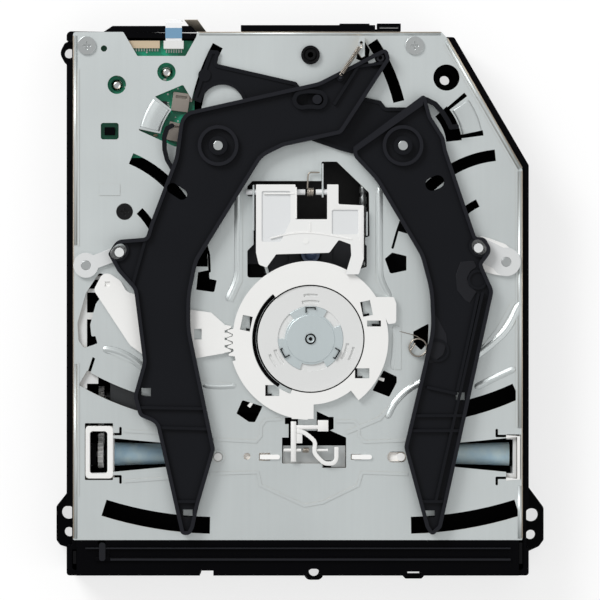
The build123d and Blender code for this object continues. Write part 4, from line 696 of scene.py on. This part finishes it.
# %% Board parts
BOARD_TOP = box_mm("sensor_board")[1][2]
PLUG_LOW, PLUG_HIGH = box_mm("ribbon_connector")
row("plug_pins", 7, (PLUG_LOW[0] + 0.8, PLUG_LOW[1] - 0.5, BOARD_TOP + 0.15), (0.8, 0, 0), (0.36, 1.2, 0.3), "solder")
row("edge_plug", 1, (-53.3, 94.3, BOARD_TOP + 0.8), (0, 0, 0), (10.0, 2.4, 1.6), "tan")
row("edge_plug_pins", 11, (-57.6, 92.7, BOARD_TOP + 0.1), (0.86, 0, 0), (0.4, 1.0, 0.2), "solder")
row("chip_bodies", 2, (-50.6, 69.0, BOARD_TOP + 0.4), (3.3, 5.6, 0), (2.6, 3.0, 0.8), "chip")
for index, (x, y) in enumerate(((-50.6, 69.0), (-47.3, 74.6))):
    for side in (-1, 1):
        row("chip_legs_{}_{}".format(index, side + 1), 4, (x + side * 1.6, y - 1.1, BOARD_TOP + 0.12), (0, 0.73, 0),
            (0.7, 0.3, 0.24), "solder")
row("small_parts", 5, (-52.6, 65.0, BOARD_TOP + 0.25), (2.9, 0.25, 0), (1.2, 0.7, 0.5), "tan")
row("small_pads", 6, (-53.2, 72.6, BOARD_TOP + 0.06), (1.3, 2.1, 0), (0.9, 0.6, 0.12), "solder")

# %% [markdown]
# Many small parts are flat: a dark strip of painted shade at the bore's edge, a steel shelf, hinge ears, two
# frames. Each is an outline given a thickness, with a bevel so that its edge catches light.


# %% Flat parts
def slab_mesh(name, points, low, high, material, holes=()):
    """Closed plate from an outline, holes and two heights, in millimetres."""
    shape = bmesh.new()
    edges = []
    for loop in (points,) + tuple(holes):
        ring = [shape.verts.new((x * MM, y * MM, low * MM)) for x, y in loop]
        edges += [shape.edges.new((ring[i - 1], ring[i])) for i in range(len(ring))]
    bmesh.ops.triangle_fill(shape, use_beauty=True, edges=edges, normal=(0, 0, 1))
    raised = bmesh.ops.extrude_face_region(shape, geom=shape.faces[:])["geom"]
    for vertex in [v for v in raised if isinstance(v, bmesh.types.BMVert)]:
        vertex.co.z = high * MM
    bmesh.ops.recalc_face_normals(shape, faces=shape.faces)
    return finished_mesh(name, shape, material)


def slab(name, points, low, high, finish_name, body=CASE, bevel=0.06, holes=()):
    """Plate as a piece on a body, with a bevel."""
    return edge_bevel(new_piece(name, slab_mesh(name, points, low, high, FINISHES[finish_name], holes), body), bevel)


def polar(centre, radius, degrees):
    """Points about a centre at the given angles."""
    return [(centre[0] + radius * math.cos(math.radians(a)), centre[1] + radius * math.sin(math.radians(a)))
            for a in degrees]


def circle(centre, radius):
    """Points on a whole circle."""
    return polar(centre, radius, range(0, 360, 9))


def rectangle(x0, y0, x1, y1):
    """Corners of a rectangle."""
    return [(x0, y0), (x1, y0), (x1, y1), (x0, y1)]


def rounded(x0, y0, x1, y1, radius):
    """Rectangle with rounded corners."""
    corners = ((x1 - radius, y1 - radius, 0), (x0 + radius, y1 - radius, 90), (x0 + radius, y0 + radius, 180),
               (x1 - radius, y0 + radius, 270))
    return [spot for x, y, start in corners for spot in polar((x, y), radius, range(start, start + 91, 15))]


def normals(path):
    """Unit vectors to the left of a path, one at each of its points."""
    found = []
    for i in range(len(path)):
        before, after = path[max(i - 1, 0)], path[min(i + 1, len(path) - 1)]
        run = math.hypot(after[0] - before[0], after[1] - before[1]) or 1.0
        found.append((-(after[1] - before[1]) / run, (after[0] - before[0]) / run))
    return found


def band(path, width):
    """Outline of a strip of one width along a path."""
    left, right = [], []
    for (x, y), (nx, ny) in zip(path, normals(path)):
        left.append((x + nx * width / 2, y + ny * width / 2))
        right.append((x - nx * width / 2, y - ny * width / 2))
    return left + right[::-1]


def smooth_path(points, rounds=3):
    """Cuts the corners of a path a few times, which rounds them."""
    for _ in range(rounds):
        cut = [points[0]]
        for (x0, y0), (x1, y1) in zip(points, points[1:]):
            cut.append((x0 * 0.75 + x1 * 0.25, y0 * 0.75 + y1 * 0.25))
            cut.append((x0 * 0.25 + x1 * 0.75, y0 * 0.25 + y1 * 0.75))
        points = cut + [points[-1]]
    return points


PLATE_Z = 23.0
EAR_LOW, EAR_TOP, EAR_THICKNESS = PLATE_Z - 0.9, 25.4, 0.55
FRAME_TOP = PLATE_Z + 0.15
SPINDLE, LEFT_PIVOT, RIGHT_PIVOT = (0, 0), (-29.5, 61.7), (29.5, 61.7)
GAP_SHADE_FROM, GAP_SHADE_SPAN, GAP_SHADE_STEPS = 130, 106, 24
gap_shade_angles = [GAP_SHADE_FROM + GAP_SHADE_SPAN * i / GAP_SHADE_STEPS for i in range(GAP_SHADE_STEPS + 1)]
# A near-black strip on the plate at the edge of the bore: painted shade in the gap around the clamper.
slab("bore_gap_shade_strip", polar(SPINDLE, 18.6, gap_shade_angles) + polar(SPINDLE, 17.5, gap_shade_angles[::-1]), PLATE_Z - 0.05,
     PLATE_Z + 0.12, "bore_gap_shade")
slab("lever_shelf", [(-8.9, -34.2), (11.2, -34.2), (11.2, -41.2), (6.6, -41.2), (6.6, -39.0), (4.0, -39.0),
                     (4.0, -41.2), (-8.9, -41.2)], 21.3, 21.7, "shelf")
for name, x, y0, y1 in (("left_hinge_ear", -18.5, 34.6, 49.2), ("right_hinge_ear", 3.6, 45.2, 56.0)):
    slab(name, rectangle(x, y0, x + EAR_THICKNESS, y1), EAR_LOW, EAR_TOP, "zinc_press", bevel=0.1)
slab("right_spring_ear", rectangle(17.75, 33.0, 18.3, 40.6), EAR_LOW, EAR_TOP - 0.6, "zinc_press")
slab("roller_frame", rounded(-72.0, -44.7, -63.2, -27.9, 1.2), PLATE_Z - 0.4, FRAME_TOP, "nylon_extra", bevel=0.1,
     holes=(rounded(-70.6, -43.1, -65.0, -29.6, 1.0),))
slab("sensor_tongue", polar(LEFT_PIVOT, 26.1, range(142, 169, 2)) + polar(LEFT_PIVOT, 18.9, range(168, 141, -2)),
     PLATE_Z - 0.95, PLATE_Z - 0.02, "zinc_press", bevel=0.15)
slab("pressed_pad", rounded(-67.7, 46.4, -61.1, 49.5, 0.9), PLATE_Z - 0.1, PLATE_Z + 0.14, "zinc_press", bevel=0.1)
slab("right_roller_frame", band([(62.6, -31.3), (66.6, -31.3), (66.6, -44.9), (62.6, -44.9)], 1.0), PLATE_Z - 0.3,
     FRAME_TOP, "nylon_extra", bevel=0.1)
print("flat parts placed")

# %% [markdown]
# The release lever is a thin moulding: two bars, a block and a hooked leaf. The leaf is a strip along a
# rounded path, and all of it becomes one piece.

# %% Release lever
LEVER_LOW, LEVER_TOP = 23.6, 24.6
AXLE_Y, AXLE_Z = -35.6, 23.8
leaf = smooth_path([(-4.4, -29.4), (-2.2, -29.8), (0.2, -31.6), (1.5, -33.0), (1.3, -34.8), (1.2, -36.4), (2.6, -38.2),
                    (4.4, -39.8), (6.0, -39.9), (7.4, -39.8), (8.2, -38.6), (8.3, -37.4), (8.3, -34.6)], 1)
lever_meshes = []
for label, outline, low, high in (
        ("bar", rectangle(-6.3, -39.3, -4.6, -26.4), LEVER_LOW, LEVER_TOP),
        ("cross", rectangle(-5.2, -28.9, 5.2, -27.6), LEVER_LOW, LEVER_TOP - 0.2),
        ("block", rectangle(2.3, -29.6, 5.7, -26.0), LEVER_LOW - 0.1, LEVER_TOP),
        ("step", rectangle(-5.2, -33.4, -2.6, -28.4), LEVER_LOW, LEVER_TOP - 0.3),
        ("leaf", band(leaf, 1.35), LEVER_LOW, LEVER_TOP),
        ("post", rectangle(4.6, -40.4, 6.0, -39.4), 17.8, LEVER_TOP - 0.4)):
    lever_meshes.append(slab_mesh("lever_" + label, outline, low, high, FINISHES["nylon_extra"]))
for label, places, radius in (("axle", (-8.6, -6.6, -4.8, -3.0), 0.55), ("peg", (1.2, 3.0, 5.6), 0.45)):
    lever_meshes.append(wire_mesh("lever_" + label, [(x, AXLE_Y, AXLE_Z) for x in places], radius))
lever_mesh = join_meshes("release_lever_mesh", lever_meshes, FINISHES["nylon_extra"])
release_lever = edge_bevel(new_piece("release_lever_fine", lever_mesh, "release_body"), 0.12)
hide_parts("release_lever")

# %% [markdown]
# Small dark gaps tell a moulding's clips from its walls. Each is a thin near-black strip on the part it belongs to,
# painted shade for the gap, hole or recess.

# %% Clips and gaps
DISC_TOP, CAP_TOP, RING_TOP = (box_mm(n)[1][2] for n in ("clamper_disc", "clamper_cap", "lock_ring"))
GAP_SHADE_TOP = CAP_TOP + 0.05
CLIP_RADIUS = 9.5
CLIP = [(-1.6, -1.2, -1.25, 0.65), (-1.3, 0.3, 1.7, 0.65), (1.35, -0.2, 1.7, 0.6)]
for index, degrees in enumerate((0, 118, 240)):
    spin, strips = math.radians(degrees), []
    for corners in CLIP:
        outline = [(x * math.cos(spin) - (y + CLIP_RADIUS) * math.sin(spin),
                    x * math.sin(spin) + (y + CLIP_RADIUS) * math.cos(spin)) for x, y in rectangle(*corners)]
        strips.append(slab_mesh("clip_strip", outline, DISC_TOP - 0.1, max(DISC_TOP, CAP_TOP) + 0.05, FINISHES["shade_strip"]))
    new_piece("cap_clip_gap_{}".format(index), join_meshes("cap_clip_{}".format(index), strips, FINISHES["shade_strip"]),
              "clamper_body")
slab("cap_stud_gap", circle(SPINDLE, 1.75), CAP_TOP - 0.2, GAP_SHADE_TOP, "shade_strip", "clamper_body", 0.02,
     holes=(circle(SPINDLE, 1.25),))
slab("cap_stud_hole", circle(SPINDLE, 0.6), CAP_TOP - 0.2, GAP_SHADE_TOP, "shade_strip", "clamper_body", 0.02)
for index, path in enumerate((
        [(-18.9, 7.3), (-18.9, 3.0), (-20.6, 3.0)], [(16.0, 12.0), (16.5, 7.5), (18.8, 7.7)],
        [(22.3, 6.0), (22.3, 4.3), (19.6, 4.3)], [(14.5, -9.2), (14.5, -12.4), (16.6, -12.4)],
        [(-14.2, -14.8), (-14.2, -18.0), (-12.4, -18.0)])):
    slab("ring_gap_{}".format(index), band(path, 1.0), RING_TOP - 1.5, RING_TOP - 1.05, "shade_strip", "ring_body", 0.02)
for index, path in enumerate((
        [(19.0, -11.6), (20.6, -14.6), (21.4, -12.6), (23.6, -13.2)],
        [(-22.4, -16.9), (-19.6, -19.0), (-18.6, -20.2), (-19.8, -21.8)])):
    slab("ring_hook_{}".format(index), band(path, 1.1), PLATE_Z - 0.7, PLATE_Z - 0.1, "nylon_extra", bevel=0.08)
print("clips placed")

# %% [markdown]
# Moulded levers carry low pads, webs and creases that stiffen them. They ride on the lever that they belong to.

# %% Pads, webs and creases
ARM_FLOOR = box_mm("right_arm")[1][2] - 1.8
slab("right_arm_pad_rear", [(47.9, 24.6), (46.3, 20.3), (46.7, 15.6), (49.3, 12.3), (50.8, 11.4), (53.1, 15.1),
                            (50.8, 17.0), (50.1, 19.4), (51.2, 21.7), (53.1, 23.0), (52.2, 25.0)],
     ARM_FLOOR - 0.1, ARM_FLOOR + 0.25, "arm_pad", "right_arm_body", 0.15)
slab("right_arm_pad_mid", [(38.7, 9.0), (40.9, 6.2), (43.4, 1.5), (43.7, -1.3), (42.3, -5.1), (39.5, -7.4),
                           (37.6, -7.9), (38.0, -1.3), (38.5, 4.3)],
     ARM_FLOOR - 0.1, ARM_FLOOR + 0.25, "arm_pad", "right_arm_body", 0.15)
# A near-black disc in the arm tip's recess: painted shade.
slab("left_arm_tip_recess", circle((20.9, 88.7), 2.5), ARM_FLOOR - 0.1, ARM_FLOOR + 0.12, "shade_strip", "left_arm_body",
     0.05)
slab("left_arm_tip_window", [(18.7, 87.6), (20.9, 88.5), (20.3, 89.8), (18.2, 88.9)], ARM_FLOOR, ARM_FLOOR + 0.2,
     "zinc_press", "left_arm_body", 0.03)
BOSS = (22.3, 89.7)
slab("left_arm_tip_boss", circle(BOSS, 1.3), ARM_FLOOR, ARM_FLOOR + 1.4, "arm_pad", "left_arm_body", 0.15,
     holes=(circle(BOSS, 0.6),))
slab("right_link_web", [(54.2, 32.9), (57.0, 32.2), (62.3, 30.3), (63.6, 29.1), (60.4, 28.4), (58.4, 24.6),
                        (59.4, 21.4), (61.8, 20.1), (59.0, 20.5), (55.6, 21.4), (54.8, 24.0)],
     23.35, 24.36, "nylon_extra", "right_link_body", 0.1)
FLAP_TOP = box_mm("clamp_flap")[1][2]
for index, (path, width) in enumerate((
        ([(-13.0, 32.1), (-7.6, 33.5), (-1.2, 34.1), (6.2, 33.2), (13.2, 31.8)], 0.5),
        ([(-0.2, 37.3), (-0.2, 34.2)], 0.6), ([(-4.6, 48.4), (-4.6, 38.4)], 0.5),
        ([(-15.0, 46.4), (-5.0, 46.4)], 0.5))):
    slab("flap_crease_{}".format(index), band(smooth_path(path, 2), width), FLAP_TOP - 0.2, FLAP_TOP + 0.18,
         "nylon_extra", "flap_body", 0.08)
slab("flap_dimple", circle((-1.5, 31.2), 0.9), FLAP_TOP - 0.2, FLAP_TOP + 0.12, "nylon_extra", "flap_body", 0.08)
GUIDE_TOP = box_mm("front_guide")[1][2]
slab("guide_catch", rounded(-67.6, -71.0, -65.6, -65.2, 0.8), GUIDE_TOP - 0.3, GUIDE_TOP + 0.4, "arm_pad", bevel=0.2)
for index, (path, width) in enumerate((
        ([(-64.0, -70.6), (64.0, -70.6)], 0.7), ([(-72.0, -67.0), (64.0, -67.0)], 0.45))):
    slab("guide_line_{}".format(index), band(path, width), GUIDE_TOP - 0.3, GUIDE_TOP + 0.2, "arm_pad", bevel=0.1)
print("pads and webs placed")


# %% [markdown]
# The thin sheet is stiffened by pressed ridges. Each is a low crown that follows a smooth path and fades out
# at both ends, so it is built as cross-sections along the path.


# %% Pressed ridges
SECTION_STEPS = 8


def swept_mesh(name, sections, material):
    """Closed mesh through equal sections of points in millimetres."""
    shape = bmesh.new()
    rings = [[shape.verts.new((x * MM, y * MM, z * MM)) for x, y, z in section] for section in sections]
    for first, second in zip(rings, rings[1:]):
        for k in range(len(first)):
            shape.faces.new((first[k - 1], first[k], second[k], second[k - 1]))
    shape.faces.new(rings[0])
    shape.faces.new(list(reversed(rings[-1])))
    bmesh.ops.recalc_face_normals(shape, faces=shape.faces)
    return finished_mesh(name, shape, material)


def ridge(name, points, width, height, finish_name="zinc_press", fade=True, rounds=3):
    """Low crowned ridge along a path on the sheet, closed below."""
    path = smooth_path(points, rounds)
    lengths = [0.0]
    for (x0, y0), (x1, y1) in zip(path, path[1:]):
        lengths.append(lengths[-1] + math.hypot(x1 - x0, y1 - y0))
    sections = []
    for (x, y), (nx, ny), length in zip(path, normals(path), lengths):
        near = min(length, lengths[-1] - length)
        part = min(1.0, 0.12 + near / (width * 0.8)) if fade else 1.0
        part = math.sqrt(1 - (1 - part) ** 2)
        section = []
        for k in range(SECTION_STEPS + 1):
            side = -1 + 2 * k / SECTION_STEPS
            rise = height * part * (0.5 + 0.5 * math.cos(math.pi * side))
            reach = side * width / 2 * part
            section.append((x + nx * reach, y + ny * reach, PLATE_Z + rise))
        for reach in (width / 2 * part, -width / 2 * part):
            section.append((x + nx * reach, y + ny * reach, PLATE_Z - 0.1))
        sections.append(section)
    mesh = swept_mesh(name, sections, FINISHES[finish_name])
    for polygon in mesh.polygons:
        polygon.use_smooth = len(polygon.vertices) == 4
    return new_piece(name, mesh)


RIDGES = [
    ([(-23.2, 48.5), (-23.2, 24.0), (-23.4, 19.0), (-26.6, 12.2)], 2.4, 0.5),
    ([(22.0, 48.5), (22.0, 24.0), (22.2, 19.0), (25.4, 13.0)], 2.4, 0.5),
    ([(-66.4, -3.2), (-62.2, -3.9), (-57.6, -6.0), (-52.9, -9.7)], 2.6, 0.55),
    ([(-34.4, -14.9), (-29.0, -15.4), (-23.8, -15.0)], 1.8, 0.4),
    ([(67.0, 11.6), (63.4, 3.6), (58.4, -1.2), (52.0, -6.0)], 2.8, 0.55),
    ([(65.6, -9.4), (60.0, -12.0), (52.6, -15.6)], 2.2, 0.5),
    ([(39.4, -12.2), (32.0, -15.4), (27.0, -20.0), (24.4, -25.4)], 2.2, 0.5),
    ([(27.3, 4.4), (27.4, -3.0), (26.6, -9.9)], 2.6, 0.22),
    ([(38.6, 13.0), (41.0, 7.6), (43.6, 3.4)], 1.6, 0.35),
    ([(-14.4, 23.6), (-13.4, 19.9), (-8.0, 18.8)], 1.0, 0.2),
]
for index, (points, width, height) in enumerate(RIDGES):
    ridge("pressed_ridge_{:02d}".format(index), points, width, height)
RIMS_OF_SHEET = [
    ([(-75.2, 97.0), (-75.2, 30.0)], 1.3), ([(-75.2, -8.0), (-75.2, -63.9)], 1.3),
    ([(67.0, 53.6), (67.0, -28.6)], 1.4), ([(67.0, -47.0), (67.0, -63.9)], 1.4),
    ([(43.2, 95.8), (67.0, 54.4)], 1.4), ([(-35.6, 97.6), (41.6, 97.6)], 1.1),
]
for index, (points, width) in enumerate(RIMS_OF_SHEET):
    ridge("sheet_rim_{}".format(index), points, width, 0.3, fade=False, rounds=0)
RAW_LINES = [
    ([(67.72, 53.8), (67.72, -63.9)], 0.3), ([(43.9, 96.1), (67.7, 54.7)], 0.3),
    ([(-35.8, 98.1), (41.8, 98.1)], 0.3), ([(-75.85, 97.0), (-75.85, -63.9)], 0.3),
]
for index, (points, width) in enumerate(RAW_LINES):
    ridge("raw_edge_line_{}".format(index), points, width, 0.16, "raw_edge", False, rounds=0)
SWELL_RADIUS, SWELL_WIDTH = 22.6, 6.4
for name, pivot, degrees in (("left_sensor_swell", LEFT_PIVOT, range(144, 167, 2)),
                             ("right_sensor_swell", RIGHT_PIVOT, range(11, 37, 2))):
    ridge(name, polar(pivot, SWELL_RADIUS, degrees), SWELL_WIDTH, 0.27, fade=False, rounds=1)
print("ridges", len(RIDGES) + len(RIMS_OF_SHEET) + len(RAW_LINES))

# %% [markdown]
# The two screws of the board have high domed heads that mirror the room, which a flat disc can't do. A domed
# head is half a squashed sphere on its shank.


# %% Domed screws
shape = bmesh.new()
DOME_RADIUS, DOME_HEIGHT, SHANK = 1.95, 1.25, 0.78
for x, y in ((-62.0, 81.3), (-46.1, 85.4)):
    place = Matrix.Translation((x * MM, y * MM, BOARD_TOP * MM))
    squash = Matrix.Diagonal((1, 1, DOME_HEIGHT / DOME_RADIUS, 1))
    bmesh.ops.create_uvsphere(shape, u_segments=40, v_segments=20, radius=DOME_RADIUS * MM, matrix=place @ squash)
    bmesh.ops.create_cone(shape, cap_ends=True, segments=24, radius1=SHANK * MM, radius2=SHANK * MM, depth=4 * MM,
                          matrix=Matrix.Translation((x * MM, y * MM, (BOARD_TOP - 2.2) * MM)))
metal("dome_steel", shade(226, 228, 228), 0.12, 0.3, 0.0, metallic=1.0)
dome_mesh = finished_mesh("board_screw_domes", shape, FINISHES["dome_steel"])
for polygon in dome_mesh.polygons:
    polygon.use_smooth = len(polygon.vertices) < 5
domes = new_piece("board_screw_domes", dome_mesh)
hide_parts("board_screws")

# %% [markdown]
# The flat cable leaves its plug, passes over the rear edge and drops behind the case in one soft bend. It is a
# strip swept along a side view, with a blue stiffener where it is held, and a second tan strip that slants
# away under it.


# %% Flat cable
def strip(name, path, thickness, material):
    """Film along points (x of left edge, x of right edge, y, z), closed all round."""
    sections = []
    for (left, right, y, z), (ny, nz) in zip(path, normals([(y, z) for _, _, y, z in path])):
        up, back = nz * thickness, ny * thickness
        sections.append(((left, y, z), (right, y, z), (right, y + back, z + up), (left, y + back, z + up)))
    return new_piece(name, swept_mesh(name, sections, material))


cable_left, cable_right = PLUG_LOW[0] + 0.6, PLUG_HIGH[0] - 0.6
side_view = [(94.5, 22.3), (97.0, 22.35), (99.6, 22.35), (101.0, 22.2), (101.7, 21.8), (102.05, 21.1), (102.1, 20.0),
             (102.1, 14.2)]
cable = strip("flat_cable", [(cable_left, cable_right, y, z) for y, z in side_view], 0.2, FINISHES["ribbon_white"])
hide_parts("ribbon")
strip("cable_stiffener", [(cable_left - 0.05, cable_right + 0.05, y, 22.58) for y in (96.2, 97.5, 99.5)], 0.1,
      FINISHES["film"])
slant = [(-40.4 + t * 2.6, -36.2 + t * 2.6, 102.1 - t * 3.4, 21.4 - t * 6.0) for t in (0, 0.35, 0.7, 1.0)]
strip("second_cable", slant, 0.2, FINISHES["hatched"])
print("cable width, mm", round(cable_right - cable_left, 1))

# %% [markdown]
# The camera looks straight down from well above, as the photograph does. A long lens keeps the walls from
# showing. Soft light comes from everywhere, and one large lamp to the upper left gives the ribs a light and
# a dark side.

# %% Camera and light
MM_PER_PIXEL = 0.32
IMAGE_SIZE = 600
SPINDLE_PIXEL = (310.5, 338.8)
VIEW_CENTRE = ((IMAGE_SIZE / 2 - SPINDLE_PIXEL[0]) * MM_PER_PIXEL * MM,
               (SPINDLE_PIXEL[1] - IMAGE_SIZE / 2) * MM_PER_PIXEL * MM)
CAMERA_HEIGHT = 1.35
SENSOR = 36
camera_data = bpy.data.cameras.new("camera")
camera_data.sensor_width = SENSOR
camera_data.lens = SENSOR * CAMERA_HEIGHT / (IMAGE_SIZE * MM_PER_PIXEL * MM)
camera = placed("camera", camera_data)
camera.location = (VIEW_CENTRE[0], VIEW_CENTRE[1], PLATE_Z * MM + CAMERA_HEIGHT)
bpy.context.scene.camera = camera
bpy.context.scene.view_settings.view_transform = "Standard"


def lamp(name, place, size, power, target=(0, 0, 0)):
    """Square area lamp aimed at a target."""
    data = bpy.data.lights.new(name, "AREA")
    data.size = size
    data.energy = power
    lamp_object = placed(name, data)
    lamp_object.location = place
    lamp_object.rotation_euler = (Vector(target) - Vector(place)).to_track_quat("-Z", "Y").to_euler()


lamp("key_lamp", (-0.75, 0.85, 0.9), 0.6, 13.0)
lamp("fill_lamp", (0.9, -0.5, 1.2), 1.2, 4.0)
world = bpy.data.worlds.new("studio")
bpy.context.scene.world = world
world.use_nodes = True
tree = world.node_tree
back = tree.nodes["Background"]
back.inputs["Color"].default_value = (1, 1, 1, 1)
AMBIENT = 0.5
direct = tree.nodes.new("ShaderNodeLightPath").outputs["Is Camera Ray"]
level = add_node(tree, "ShaderNodeMapRange", {"To Min": AMBIENT, "To Max": 1.0, "Value": direct})
tree.links.new(level.outputs["Result"], back.inputs["Strength"])

# %% Floor
floor_mesh = bpy.data.meshes.new("floor")
REACH = 3.0
floor_mesh.from_pydata([(-REACH, -REACH, 0), (REACH, -REACH, 0), (REACH, REACH, 0), (-REACH, REACH, 0)], [],
                       [(0, 1, 2, 3)])
floor = placed("floor", floor_mesh)
floor_tree, floor_shader = blank("floor")
floor_shader.inputs["Roughness"].default_value = 0.9
floor_shader.inputs["Emission Color"].default_value = (1, 1, 1, 1)
FLOOR_GLOW = 0.68
seen = floor_tree.nodes.new("ShaderNodeLightPath").outputs["Is Camera Ray"]
floor_tree.links.new(mix_colours(floor_tree, seen, (0.9, 0.9, 0.9, 1), (0.34, 0.34, 0.34, 1)),
                     floor_shader.inputs["Base Color"])
floor_tree.links.new(math_node(floor_tree, "MULTIPLY", seen, FLOOR_GLOW), floor_shader.inputs["Emission Strength"])
floor_mesh.materials.append(FINISHES["floor"])
